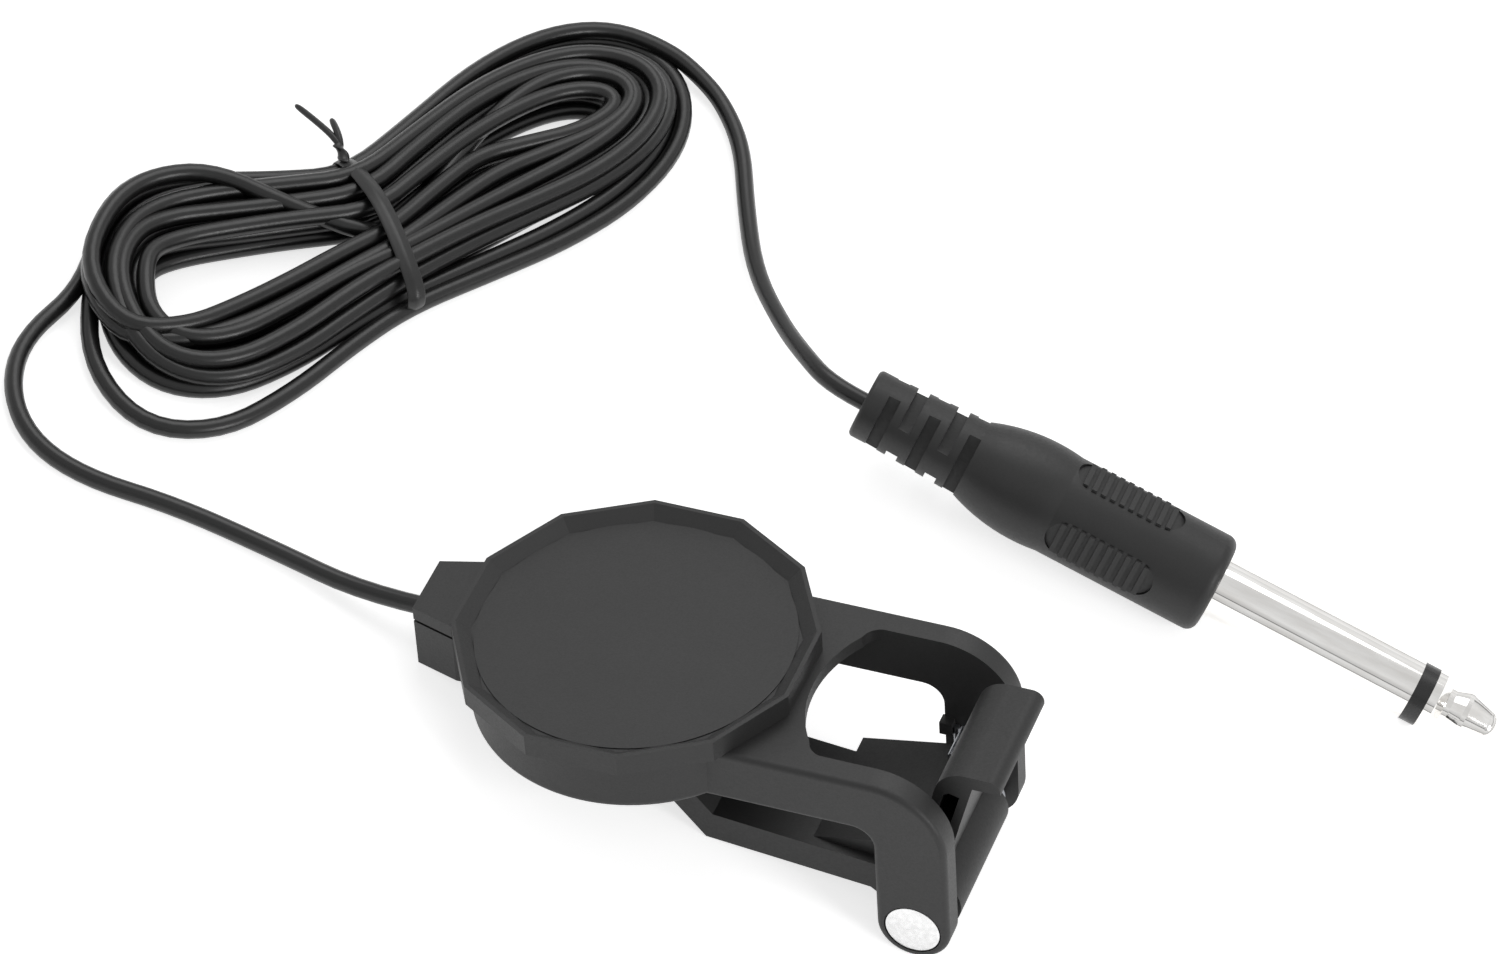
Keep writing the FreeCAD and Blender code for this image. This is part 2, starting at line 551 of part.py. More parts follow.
def jaw_lever():
    """One moulding: hub on the pin, jaw plate with upturned nose, thumb tab with a lip."""
    body = make_body("clip_lever")
    fall = tangent(S["jaw_slope"])
    depth = S["jaw_thick"] / cosine(S["jaw_slope"])

    def underside(x):
        return -S["jaw_knee_z"] - (x - S["jaw_knee_x"]) * fall

    nose_sin = sine(S["nose_slope"])
    nose_cos = cosine(S["nose_slope"])
    nose_rise = S["jaw_knee_z"] - nose_level
    inner_run = (depth - S["nose_thick"] * (nose_cos + nose_sin * fall)) / (nose_sin - nose_cos * fall)
    inner_x = S["jaw_knee_x"] + S["nose_thick"] * nose_sin
    tip_outer = S["jaw_knee_x"] - nose_rise / nose_sin * nose_cos
    tip_inner = inner_x - (nose_rise - S["nose_thick"] * nose_cos) / nose_sin * nose_cos
    knee_x = inner_x - inner_run * nose_cos
    side = make_sketch(body, "JawSide", "XZ_Plane", -S["jaw_far"])
    draw_outline(side, [
        (S["jaw_knee_x"], -S["jaw_knee_z"]),
        (S["jaw_heel_x"], underside(S["jaw_heel_x"])),
        (S["jaw_heel_x"], underside(S["jaw_heel_x"]) + depth),
        (knee_x, underside(knee_x) + depth),
        (tip_inner, -nose_level),
        (tip_outer, -nose_level)])
    pad(body, "JawPlate", side, jaw_near + S["jaw_far"])

    lean_sin = sine(S["tab_lean"])
    lean_cos = cosine(S["tab_lean"])

    def on_tab(across, along):
        """A point measured across and along the leaning tab, from the pivot."""
        return (S["pin_x"] + across * lean_cos + along * lean_sin,
                -S["pin_z"] - across * lean_sin + along * lean_cos)

    inner_side = 0.6 - S["tab_thick"]
    ramp_x = S["jaw_heel_x"] - S["ramp_run"]
    link = make_sketch(body, "LinkSide", "XZ_Plane", -hub_half)
    draw_outline(link, [
        (ramp_x, underside(ramp_x) + depth - 0.5),
        (S["jaw_heel_x"] - 4, underside(S["jaw_heel_x"] - 4) + 0.4),
        (S["pin_x"] - S["hub_rad"] * 0.7, -S["pin_z"] - S["hub_rad"] * 0.7),
        (S["pin_x"], -S["pin_z"]),
        on_tab(inner_side + 1, S["ramp_high"] + 0.5),
        on_tab(inner_side, S["ramp_high"]),
        (ramp_x, underside(ramp_x) + depth)])
    pad(body, "Link", link, hub_near + hub_half)
    hub = make_sketch(body, "HubRound", "XZ_Plane", -hub_half)
    draw_circle(hub, S["pin_x"], -S["pin_z"], S["hub_rad"])
    pad(body, "Hub", hub, hub_near + hub_half)

    neck_top = S["pin_z"] - S["tab_top"] - S["tab_crown"] * 2
    neck = make_sketch(body, "TabNeck", "XZ_Plane", 0.3 - tab_far)
    draw_outline(neck, [on_tab(inner_side, 0), on_tab(0.6, 0), on_tab(0.6, neck_top), on_tab(inner_side, neck_top)])
    pad(body, "Neck", neck, tab_near + tab_far - 0.6)

    lip_low = -S["tab_top"] - S["tab_lip"]
    outer_along = (lip_low + S["pin_z"] + 0.6 * lean_sin) / lean_cos
    corner_along = (S["pin_z"] - S["tab_top"] + inner_side * lean_sin) / lean_cos
    trim = S["tab_crown"] * tangent((90 - S["tab_lean"]) / 2)
    corner_x = on_tab(inner_side, corner_along)[0]
    lip_end = S["pin_x"] + S["tab_reach"]
    lip_round = S["tab_lip"] * 0.8
    head = make_sketch(body, "HeadSide", "XZ_Plane", -tab_far)
    draw_outline(head, [
        on_tab(inner_side, neck_top - 0.5),
        on_tab(0.6, neck_top - 0.5),
        on_tab(0.6, outer_along),
        (lip_end, lip_low),
        (lip_end, -S["tab_top"] - lip_round, lip_round),
        (lip_end - lip_round, -S["tab_top"]),
        (corner_x + trim, -S["tab_top"], S["tab_crown"]),
        on_tab(inner_side, corner_along - trim)])
    pad(body, "TabHead", head, tab_near + tab_far)
    bore = make_sketch(body, "HubBore", "XZ_Plane")
    draw_circle(bore, S["pin_x"], -S["pin_z"], S["pin_rad"] + S["pin_run"])
    cut(body, "PinBore", bore, hub_near * 2 + 2, middle=True)
    hollow_top = corner_along - trim
    hollow = make_sketch(body, "HeadHollow", "XZ_Plane", tab_near + 1)
    draw_outline(hollow, [
        on_tab(inner_side + S["tab_wall"], neck_top - 2),
        on_tab(0.6 - S["tab_wall"], neck_top - 2),
        on_tab(0.6 - S["tab_wall"], hollow_top),
        on_tab(inner_side + S["tab_wall"] + 0.5, hollow_top),
        on_tab(inner_side + S["tab_wall"], hollow_top - 0.5)])
    cut(body, "Hollow", hollow, tab_near + tab_far - 0.5)

    rubber = make_body("jaw_pad")
    block = make_sketch(rubber, "PadSide", "XZ_Plane", S["jaw_pad_edge"] - S["jaw_far"])
    draw_outline(block, [
        (tip_outer, -nose_level),
        (tip_inner, -nose_level),
        (tip_inner, -nose_level + S["jaw_pad_thick"]),
        (tip_outer, -nose_level + S["jaw_pad_thick"])])
    pad(rubber, "Pad", block, jaw_near + S["jaw_far"] - S["jaw_pad_edge"] * 2)
    return body, rubber


def plain_disc(name, radius, under, thick, across=0, aside=0):
    """A round layer whose underside is this far below the cap's rim."""
    body = make_body(name)
    sketch = make_sketch(body, name + "_outline", "XY_Plane", -as_size(under))
    draw_circle(sketch, across, aside, radius)
    pad(body, name + "_layer", sketch, thick)
    return body


def pivot_parts():
    """Rivet pin with a domed head in the near leg and a push-on washer on its far end."""
    pin = make_body("pivot_pin")
    shank = S["frame_half"] * 2 - S["pin_sink"] + S["washer_thick"] + S["pin_tail"]
    side = make_sketch(pin, "PinSide", "XZ_Plane")
    rim = S["pin_head_high"] * 0.35
    dome = S["pin_head_high"] - rim
    draw_outline(side, [
        (0, -shank),
        (S["pin_rad"] - 0.3, -shank),
        (S["pin_rad"], -shank + 0.3),
        (S["pin_rad"], 0),
        (S["pin_head_rad"], 0),
        (S["pin_head_rad"], rim, (S["pin_head_rad"] * S["pin_head_rad"] + dome * dome) / (dome * 2)),
        (0, rim + dome)])
    turn(pin, "PinTurned", side, "Z_Axis")
    at_head = FreeCAD.Vector(float(S["pin_x"]), float(S["pin_sink"] - S["frame_half"]), -float(S["pin_z"]))
    upright = FreeCAD.Rotation(FreeCAD.Vector(1, 0, 0), 90)
    washer = make_body("pin_washer")
    ring = make_sketch(washer, "WasherSide", "XZ_Plane")
    cup = S["washer_thick"]
    draw_outline(ring, [
        (S["pin_rad"] + S["pin_fit"], 0),
        (S["washer_rad"], 0),
        (S["washer_rad"], cup * 0.5),
        (S["washer_rad"] - 0.5, cup),
        (S["pin_rad"] + S["pin_fit"], cup)])
    turn(washer, "WasherTurned", ring, "Z_Axis")
    at_tail = FreeCAD.Vector(float(S["pin_x"]), float(S["frame_half"]), -float(S["pin_z"]))
    outward = FreeCAD.Rotation(FreeCAD.Vector(1, 0, 0), -90)
    pin.Placement = clip_place.multiply(FreeCAD.Placement(at_head, upright))
    washer.Placement = clip_place.multiply(FreeCAD.Placement(at_tail, outward))


def feature(name, shape, place=None):
    thing = doc.addObject("Part::Feature", name)
    thing.Label = name
    thing.Shape = shape
    if place is not None:
        thing.Placement = place
    return thing


def rounded_path(points):
    """Straight runs joined by tangent arcs, as large as the runs beside them allow."""
    points = [FreeCAD.Vector(*point) for point in points]
    edges = []
    radii = []
    start = points[0]
    for before, corner, after in zip(points, points[1:], points[2:]):
        back = before - corner
        ahead = after - corner
        shorter = min(back.Length, ahead.Length)
        half_turn = (math.pi - back.getAngle(ahead)) / 2
        trim = 0.45 * shorter
        radii.append(trim / math.tan(half_turn))
        first = corner + back.normalize() * trim
        last = corner + ahead.normalize() * trim
        middle_way = (back + ahead).normalize()
        middle = corner + middle_way * (radii[-1] / math.cos(half_turn) - radii[-1])
        edges.append(Part.LineSegment(start, first).toShape())
        edges.append(Part.Arc(first, middle, last).toShape())
        start = last
    edges.append(Part.LineSegment(start, points[-1]).toShape())
    return Part.Wire(edges), radii


def tube(name, points, diameter, place=None):
    """A round tube along a rounded path, checked against its section times its length."""
    path, radii = rounded_path(points)
    way = FreeCAD.Vector(*points[1]) - FreeCAD.Vector(*points[0])
    circle = Part.Wire(Part.makeCircle(diameter / 2, FreeCAD.Vector(*points[0]), way))
    solid = path.makePipeShell([circle], True, False)
    wanted = math.pi * diameter ** 2 / 4 * path.Length
    print(name, "length", round(path.Length, 1), "radii", [round(radius, 1) for radius in radii],
          "volume ratio", round(solid.Volume / wanted, 4))
    if abs(solid.Volume / wanted - 1) > 0.01:
        raise RuntimeError(f"{name} is not a clean tube")
    return feature(name, solid, place)


def torsion_spring():
    """Coil round the pin beside the hub: one arm behind the thumb tab, one on the leg's stop."""
    wire = float(S["wire_dia"])
    mean = float(S["coil_rad"])
    first_y = float(hub_half + S["spring_gap"]) + wire / 2
    last_y = float(leg_inner - S["spring_gap"]) - wire / 2
    pivot = FreeCAD.Vector(float(S["pin_x"]), 0, -float(S["pin_z"]))
    lean = math.radians(float(S["tab_lean"]))
    across = 0.6 - float(S["tab_thick"]) - wire / 2 - float(S["spring_gap"])
    along = float(S["ramp_high"]) + 1.5
    hook = FreeCAD.Vector(across * math.cos(lean) + along * math.sin(lean), 0,
                          -across * math.sin(lean) + along * math.cos(lean))
    start_angle = math.atan2(hook.z, hook.x) - math.acos(mean / hook.Length)
    turns = (start_angle + math.pi) / (2 * math.pi) + 1
    helix = Part.makeHelix((last_y - first_y) / turns, last_y - first_y, mean)
    section = Part.Wire(Part.makeCircle(wire / 2, FreeCAD.Vector(mean, 0, 0), FreeCAD.Vector(0, 1, 0)))
    coil = Part.Wire(helix).makePipeShell([section], True, True)
    coil.rotate(FreeCAD.Vector(), FreeCAD.Vector(0, 0, 1), -math.degrees(start_angle))
    coil.rotate(FreeCAD.Vector(), FreeCAD.Vector(1, 0, 0), -90)
    coil.translate(pivot + FreeCAD.Vector(0, first_y, 0))

    def rod(first, last):
        return Part.makeCylinder(wire / 2, (last - first).Length, first, last - first)

    def joint(point):
        return Part.makeSphere(wire / 2 + 0.01, point)

    leave = pivot + FreeCAD.Vector(mean * math.cos(start_angle), first_y, mean * math.sin(start_angle))
    bend = pivot + FreeCAD.Vector(hook.x, first_y, hook.z)
    rest = FreeCAD.Vector(bend.x, float(hub_half) - 3.5, bend.z)
    rise = pivot + FreeCAD.Vector(-mean, last_y, 0)
    top = rise + FreeCAD.Vector(0, 0, float(S["spring_arm"]) - 0.6)
    pieces = [joint(leave), rod(leave, bend), joint(bend), rod(bend, rest), joint(rise), rod(rise, top)]
    solid = coil.multiFuse(pieces).removeSplitter()
    return feature("torsion_spring", solid, clip_place)


def sensor_parts():
    """Brass disc with its ceramic layer, foam damper, solder, cores, clamp and pads."""
    brass_top = seat_level - S["brass_thick"]
    crystal_top = brass_top - S["crystal_thick"]
    signal_at = (-(S["foam_rad"] + S["solder_rad"] + 0.6), 1.6)
    ground_at = (-(S["crystal_rad"] + S["solder_rad"] + 0.7), -2.2)
    blob = S["solder_rad"] * 0.7
    plain_disc("piezo_brass_disc", S["brass_rad"], seat_level, S["brass_thick"])
    plain_disc("piezo_ceramic", S["crystal_rad"], brass_top, S["crystal_thick"])
    plain_disc("foam_damper", S["foam_rad"], crystal_top, crystal_top - ceiling)
    plain_disc("contact_pad", S["contact_rad"], contact_level, S["contact_thick"])
    for name, under, (across, aside) in (("signal_solder", crystal_top, signal_at),
                                         ("ground_solder", brass_top, ground_at)):
        body = plain_disc(name, S["solder_rad"], under, blob, across, aside)
        round_edges(body, name + "_round", blob * 0.7, lambda edge: level_edge(edge, blob - under))

    end_x = -float(inner_rad) + 0.5
    level = -float(S["entry_bore_z"])
    spread = float(S["core_dia"]) / 2 + 0.03
    inside = make_body("cable_end")
    face = make_sketch(inside, "CableFace", "YZ_Plane", -S["entry_reach"])
    draw_circle(face, 0, -S["entry_bore_z"], S["cable_dia"] / 2)
    pad(inside, "CableEnd", face, S["entry_reach"] - inner_rad + 0.5)
    for name, side, (across, aside), under in (("signal_core", 1, signal_at, crystal_top),
                                               ("ground_core", -1, ground_at, brass_top)):
        top = float(blob - under)
        drop_x, drop_y = float(across), float(aside)
        tube(name, [
            (end_x, side * spread, level),
            (end_x + 1.1, side * spread, level),
            ((end_x + 1.1 + drop_x) / 2, (side * spread + drop_y) / 2, level + 0.25),
            (drop_x, drop_y, level + 0.1),
            (drop_x, drop_y, top)], float(S["core_dia"]), clip_place)
    ring = make_body("cable_clamp")
    outline = make_sketch(ring, "ClampOutline", "YZ_Plane", clamp_mid - S["clamp_long"] / 2 + 0.05)
    draw_circle(outline, 0, -S["entry_bore_z"], S["clamp_rad"])
    draw_circle(outline, 0, -S["entry_bore_z"], S["cable_dia"] / 2)
    pad(ring, "ClampRing", outline, S["clamp_long"] - 0.1)


# The plug lies on the front edge of its grip and on the collar of its tip
tip_start = S["sleeve_long"] + S["ring_long"]
tip_collar = tip_start + 0.9
nose_down = math.degrees(math.asin(float(S["grip_rad"] - S["sleeve_dia"] / 2) / float(tip_collar + S["grip_round"])))
plug_high = float(S["grip_rad"]) - float(S["grip_round"]) * math.sin(math.radians(nose_down))
plug_place = FreeCAD.Placement(
    FreeCAD.Vector(39.5, 45.1, plug_high),
    FreeCAD.Rotation(FreeCAD.Vector(0, 0, 1), -0.6)
    .multiply(FreeCAD.Rotation(FreeCAD.Vector(0, 1, 0), nose_down))
    .multiply(FreeCAD.Rotation(FreeCAD.Vector(1, 0, 0), -9)))


def turned_part(name, points):
    body = make_body(name)
    side = make_sketch(body, name + "_profile", "XZ_Plane")
    draw_outline(side, points)
    turn(body, name + "_turned", side, "X_Axis")
    return body


def strip(name, low, high):
    """A flat strip between two corners."""
    box = doc.addObject("Part::Box", name)
    box.Label = name
    for prop, first, last in zip(("Length", "Width", "Height"), low, high):
        bind(box, prop, last - first)
    box.Placement = plug_place.multiply(FreeCAD.Placement(
        FreeCAD.Vector(*(float(value) for value in low)), FreeCAD.Rotation()))
    return box


def plug_contacts():
    """Sleeve, insulator and tip of a 6.35 mm mono plug with the lugs that the cores are soldered to."""
    bore = S["sleeve_dia"] / 2 - S["sleeve_wall"]
    collar_front = S["collar_thick"] - S["sleeve_root"]
    rod = S["rod_dia"] / 2
    back = -S["sleeve_root"] - 1
    rod_end = back - 2
    rim = S["sleeve_dia"] / 2
    sleeve = turned_part("plug_sleeve", [
        (-S["sleeve_root"], bore),
        (S["sleeve_long"], bore),
        (S["sleeve_long"], rim),
        (-S["face_sink"], rim),
        (-S["face_sink"], S["sleeve_neck"]),
        (collar_front, S["sleeve_neck"]),
        (collar_front, S["collar_rad"]),
        (-S["sleeve_root"], S["collar_rad"])])
    insulator = turned_part("plug_insulator", [
        (back, rod),
        (tip_start, rod),
        (tip_start, rim),
        (S["sleeve_long"], rim),
        (S["sleeve_long"], bore),
        (back, bore)])
    washer = turned_part("plug_rear_insulator", [
        (back, bore),
        (-S["sleeve_root"], bore),
        (-S["sleeve_root"], S["sleeve_neck"]),
        (back, S["sleeve_neck"])])
    point = S["tip_end"]
    tip = turned_part("plug_tip", [
        (rod_end, 0),
        (point, 0),
        (point, 0.9, 1.3),
        (point - 1.1, 1.95),
        (point - 3.4, S["tip_bulge"]),
        (point - 3.9, S["tip_bulge"]),
        (point - 5.2, S["tip_neck"]),
        (point - 5.8, S["tip_neck"]),
        (tip_collar, rim),
        (tip_start, rim),
        (tip_start, rod),
        (rod_end, rod)])
    half = S["lug_wide"] / 2
    tip_lug = strip("plug_tip_lug", (rod_end - S["lug_long"], -half, -S["lug_thick"] / 2),
                    (rod_end, half, S["lug_thick"] / 2))
    shelf = S["sleeve_neck"] + 0.3
    sleeve_lug = strip("plug_sleeve_lug", (-S["sleeve_root"] - S["lug_long"] - 1, -half, shelf),
                       (-S["sleeve_root"], half, shelf + S["lug_thick"]))
    inside = make_body("plug_cable_end")
    face = make_sketch(inside, "PlugCableFace", "YZ_Plane", -S["grip_long"] - boot_long)
    draw_circle(face, 0, 0, S["cable_dia"] / 2)
    strip_at = rod_end - S["lug_long"] - 2
    pad(inside, "PlugCable", face, S["grip_long"] + boot_long + strip_at)
    core = float(S["core_dia"])
    start = float(strip_at)
    under_tip = -float(S["lug_thick"]) / 2 - core / 2 - 0.02
    under_sleeve = float(shelf) - core / 2
    last = float(-S["sleeve_root"] - S["lug_long"])
    tube("plug_signal_core", [
        (start, 0, -core / 2 - 0.03),
        (start + 0.6, 0, -core / 2 - 0.03),
        (start + 1.7, 0, under_tip),
        (start + 4.5, 0, under_tip)], core, plug_place)
    tube("plug_ground_core", [
        (start, 0, core / 2 + 0.03),
        (start + 1.3, 0, core / 2 + 0.03),
        ((start + last) / 2 + 0.6, 0, (core / 2 + under_sleeve) / 2 + 0.2),
        (last - 0.4, 0, under_sleeve),
        (last + 1.2, 0, under_sleeve)], core, plug_place)
    for body in (sleeve, insulator, washer, tip, inside):
        body.Placement = plug_place
    names = ("plug_signal_core", "plug_ground_core")
    cores = [item for item in doc.Objects if item.Name in names]
    return [sleeve, insulator, washer, tip, tip_lug, sleeve_lug, inside] + cores


boot_long = S["boot_block"] + S["slot_pitch"] * (SLOTS - 1) + S["slot_wide"]


def plug_moulding(contents):
    """Soft grip with a stepped waist, two ribbed thumb panels and a slotted boot, moulded round the rest."""
    body = make_body("moulding_outside")
    end = -S["grip_long"] - boot_long
    side = make_sketch(body, "GripProfile", "XZ_Plane")
    draw_outline(side, [
        (end, 0),
        (-S["face_sink"], 0),
        (-S["face_sink"], S["face_rad"]),
        (0, S["face_rad"] + 0.05),
        (0, S["grip_rad"] - S["grip_round"], S["grip_round"]),
        (-S["grip_round"], S["grip_rad"]),
        (-S["grip_full"], S["grip_rad"], 20.0),
        (-S["grip_long"], S["waist_rad"]),
        (end + S["boot_block"], S["boot_rear_rad"]),
        (end + 0.5, S["boot_rear_rad"], 0.5),
        (end, S["boot_rear_rad"] - 0.5)])
    turn(body, "Grip", side, "X_Axis")
    for role, first in (("XY_Plane", 0), ("XZ_Plane", 1)):
        slots = make_sketch(body, "Slots" + role[:2], role)
        for number in range(first, SLOTS, 2):
            left = end + S["boot_block"] + S["slot_pitch"] * number
            for low, high in ((-S["grip_rad"], -S["boot_web"] / 2), (S["boot_web"] / 2, S["grip_rad"])):
                draw_outline(slots, [
                    (left, low),
                    (left + S["slot_wide"], low),
                    (left + S["slot_wide"], high),
                    (left, high)])
        cut(body, "BootSlots" + role[:2], slots, S["grip_rad"] * 2, middle=True)
    panel_mid = -S["panel_set"] - S["panel_long"] / 2
    half_wide = S["panel_wide"] / 2
    flat = S["panel_long"] / 2 - half_wide
    for role, label, way in (("XY_Plane", "Top", 1), ("XZ_Plane", "Side", 1)):
        bed = make_sketch(body, label + "PanelOutline", role, (S["grip_rad"] - S["panel_deep"]) * way)
        draw_outline(bed, [
            (panel_mid - flat, -half_wide),
            (panel_mid + flat, -half_wide, half_wide),
            (panel_mid + flat + half_wide, 0, half_wide),
            (panel_mid + flat, half_wide),
            (panel_mid - flat, half_wide, half_wide),
            (panel_mid - flat - half_wide, 0, half_wide)])
        cut(body, label + "Panel", bed, S["panel_deep"] + 1, reverse=True)
        ribs = make_sketch(body, label + "Ribs", role, (S["grip_rad"] - S["panel_deep"]) * way)
        step = (S["panel_long"] - S["panel_rib"]) / PANEL_RIBS
        for number in range(1, PANEL_RIBS):
            left = panel_mid - S["panel_long"] / 2 + step * number
            off = abs(float(left + S["panel_rib"] / 2 - panel_mid)) - float(flat)
            reach = half_wide - 0.15
            if off > 0:
                share = math.sqrt(max(1 - (off / float(half_wide)) ** 2, 0.05))
                reach = half_wide * round(share, 3) - 0.15
            draw_outline(ribs, [
                (left, -reach),
                (left + S["panel_rib"], -reach),
                (left + S["panel_rib"], reach),
                (left, reach)])
        pad(body, label + "RibRows", ribs, S["panel_deep"] * 0.75)
    body.Placement = plug_place
    inside = doc.addObject("Part::MultiFuse", "plug_contents")
    inside.Shapes = contents
    moulding = doc.addObject("Part::Cut", "plug_moulding")
    moulding.Label = "plug_moulding"
    moulding.Base = body
    moulding.Tool = inside
    doc.recompute()
    return moulding


def world(place, x, y, z):
    point = place.multVec(FreeCAD.Vector(float(x), float(y), float(z)))
    return (point.x, point.y, point.z)


def lead():
    """The free stretches of the cable, the tied coil between them and the twist tie round its waist."""
    dia = float(S["cable_dia"])
    rest = dia / 2
    tube("cable_to_coil", [
        world(clip_place, -S["entry_reach"], 0, -S["entry_bore_z"]),
        world(clip_place, -S["entry_reach"] - 7, 0, -S["entry_bore_z"]),
        (-46.0, 1.1, 1.1),
        (-57.0, 1.2, rest),
        (-66.4, -0.4, rest),
        (-73.2, 1.3, rest),
        (-77.7, 6.6, rest),
        (-79.2, 13.4, rest),
        (-77.4, 20.0, rest + 0.4)], dia)
    tube("cable_to_plug", [
        (-33.4, 86.4, 3.0),
        (-29.2, 84.2, 2.0),
        (-25.4, 79.6, 1.2),
        (-22.2, 72.0, rest),
        (-17.9, 62.9, 1.7),
        (-12.3, 54.5, 4.6),
        (-8.4, 49.2, 7.3),
        world(plug_place, -S["grip_long"] - boot_long - 3.9, 0, 0),
        world(plug_place, -S["grip_long"] - boot_long, 0, 0)], dia)
    outline = [
        (-77.9, 22.8), (-76.6, 17.6), (-74.1, 13.3), (-71.4, 9.2), (-68.1, 7.0), (-64.6, 6.3),
        (-61.2, 7.0), (-57.6, 9.6), (-54.7, 13.6), (-51.8, 20.2), (-49.0, 28.6), (-46.0, 37.1),
        (-41.0, 43.6), (-35.6, 50.4), (-32.6, 58.2), (-30.9, 66.9), (-30.2, 73.2), (-30.7, 79.4),
        (-32.4, 84.2), (-35.4, 87.2), (-40.6, 88.4), (-45.7, 86.7), (-50.4, 81.4), (-54.5, 73.8),
        (-58.0, 64.2), (-61.1, 54.4), (-67.6, 47.4), (-74.7, 40.6), (-78.2, 36.4), (-79.6, 31.5),
        (-79.3, 27.0)]
    corners = [FreeCAD.Vector(x, y, 0) for x, y in outline]
    base = Part.Face(Part.makePolygon(corners + corners[:1]))
    hank = base.extrude(FreeCAD.Vector(0, 0, float(S["coil_high"])))
    feature("cable_coil", hank)
    across = FreeCAD.Vector(16.0, -15.1, 0).normalize()
    along = FreeCAD.Vector(-across.y, across.x, 0)
    middle = FreeCAD.Vector(-53.7, 44.8, 0)
    span, wide, thick = (float(S[key]) for key in ("tie_span", "tie_wide", "tie_thick"))
    high = float(S["coil_high"]) + thick

    def band(grow, low, top):
        box = Part.makeBox(span + grow * 2, wide, top - low, FreeCAD.Vector(-span / 2 - grow, -wide / 2, low))
        return box

    loop = band(thick, 0.02, high).cut(band(0, 0.02 + thick, high - thick))
    turn_to = FreeCAD.Matrix(across.x, along.x, 0, middle.x, across.y, along.y, 0, middle.y,
                             0, 0, 1, 0, 0, 0, 0, 1)
    loop = loop.transformGeometry(turn_to)
    knot = middle - across * (span / 2 + thick / 2)
    knot.z = high * 0.55
    pieces = []
    radius = float(S["tie_tail"]) / 2
    for stop in ((-68.6, 54.4, 2.2), (-64.8, 55.9, 1.4)):
        way = FreeCAD.Vector(*stop) - knot
        pieces.append(Part.makeCylinder(radius, way.Length, knot, way))
    pieces.append(Part.makeSphere(radius * 1.7, knot))
    feature("twist_tie", loop.multiFuse(pieces).removeSplitter())


housing_cap()
housing_base()
jaw_lever()
sensor_parts()
for body in [item for item in doc.Objects if item.TypeId == "PartDesign::Body"]:
    body.Placement = clip_place
pivot_parts()
torsion_spring()
plug_moulding(plug_contacts())
lead()
doc.recompute()

NODES = ("housing_cap", "housing_base", "contact_pad", "piezo_brass_disc", "piezo_ceramic",
         "foam_damper", "signal_solder", "ground_solder", "signal_core", "ground_core", "cable_end",
         "cable_clamp", "pivot_pin", "pin_washer", "torsion_spring", "clip_lever", "jaw_pad",
         "cable_to_coil", "cable_coil", "cable_to_plug", "twist_tie", "plug_moulding",
         "plug_sleeve", "plug_insulator", "plug_rear_insulator", "plug_tip", "plug_tip_lug",
         "plug_sleeve_lug", "plug_signal_core", "plug_ground_core", "plug_cable_end")
for item in doc.Objects:
    if "Invalid" in item.State or "Error" in item.State:
        raise RuntimeError(f"{item.Label} failed: {item.State}")
pieces = {}
for name in NODES:
    found = [item for item in doc.Objects if item.Label == name]
    if len(found) != 1:
        raise RuntimeError(f"{len(found)} objects are called {name}")
    shape = found[0].Shape
    if shape.isNull() or not shape.isValid() or shape.Volume <= 0:
        raise RuntimeError(f"{name} has no valid solid")
    pieces[name] = shape
os.makedirs("parts", exist_ok=True)
for name, shape in pieces.items():
    shape.exportStep(f"parts/{name}.step")
    box = shape.optimalBoundingBox()
    print(name, len(shape.Solids), "solid", round(shape.Volume, 2), "mm3",
          [round(value, 2) for value in (box.XMin, box.XMax, box.YMin, box.YMax, box.ZMin, box.ZMax)])
print("clip tilt", round(tilt, 3), "base", clip_place.Base, "plug nose down", round(nose_down, 3))
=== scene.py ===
import math

import bpy
from mathutils import Matrix, Vector


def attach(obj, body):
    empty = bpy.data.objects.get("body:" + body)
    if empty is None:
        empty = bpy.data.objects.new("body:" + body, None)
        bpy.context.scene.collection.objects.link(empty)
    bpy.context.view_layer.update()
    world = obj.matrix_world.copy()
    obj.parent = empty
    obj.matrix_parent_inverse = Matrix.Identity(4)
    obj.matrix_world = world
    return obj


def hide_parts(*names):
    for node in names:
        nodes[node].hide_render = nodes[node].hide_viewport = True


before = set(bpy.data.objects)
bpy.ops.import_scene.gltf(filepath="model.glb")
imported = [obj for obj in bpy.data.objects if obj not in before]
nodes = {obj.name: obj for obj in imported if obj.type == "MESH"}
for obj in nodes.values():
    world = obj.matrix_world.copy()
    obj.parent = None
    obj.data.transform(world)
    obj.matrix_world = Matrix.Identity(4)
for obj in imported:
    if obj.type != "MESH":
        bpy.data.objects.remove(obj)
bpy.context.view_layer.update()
mm = 0.001


def hexColour(text, alpha=1.0):
    # sRGB hex to the linear values that the sockets take
    parts = [int(text[i:i + 2], 16) / 255 for i in (1, 3, 5)]
    return [c / 12.92 if c <= 0.04045 else ((c + 0.055) / 1.055) ** 2.4 for c in parts] + [alpha]


def addNode(tree, kind, settings=None, inputs=None, links=None):
    node = tree.nodes.new("ShaderNode" + kind)
    for key, value in (settings or {}).items():
        setattr(node, key, value)
    for key, value in (inputs or {}).items():
        node.inputs[key].default_value = value
    for key, source in (links or {}).items():
        tree.links.new(source, node.inputs[key])
    return node


def newMaterial(name):
    mat = bpy.data.materials.new(name)
    mat.use_nodes = True
    mat.node_tree.nodes.clear()
    return mat, mat.node_tree


def setRamp(ramp, stops):
    while len(ramp.elements) < len(stops):
        ramp.elements.new(0.5)
    for element, (place, colour) in zip(ramp.elements, stops):
        element.position = place
        element.color = colour


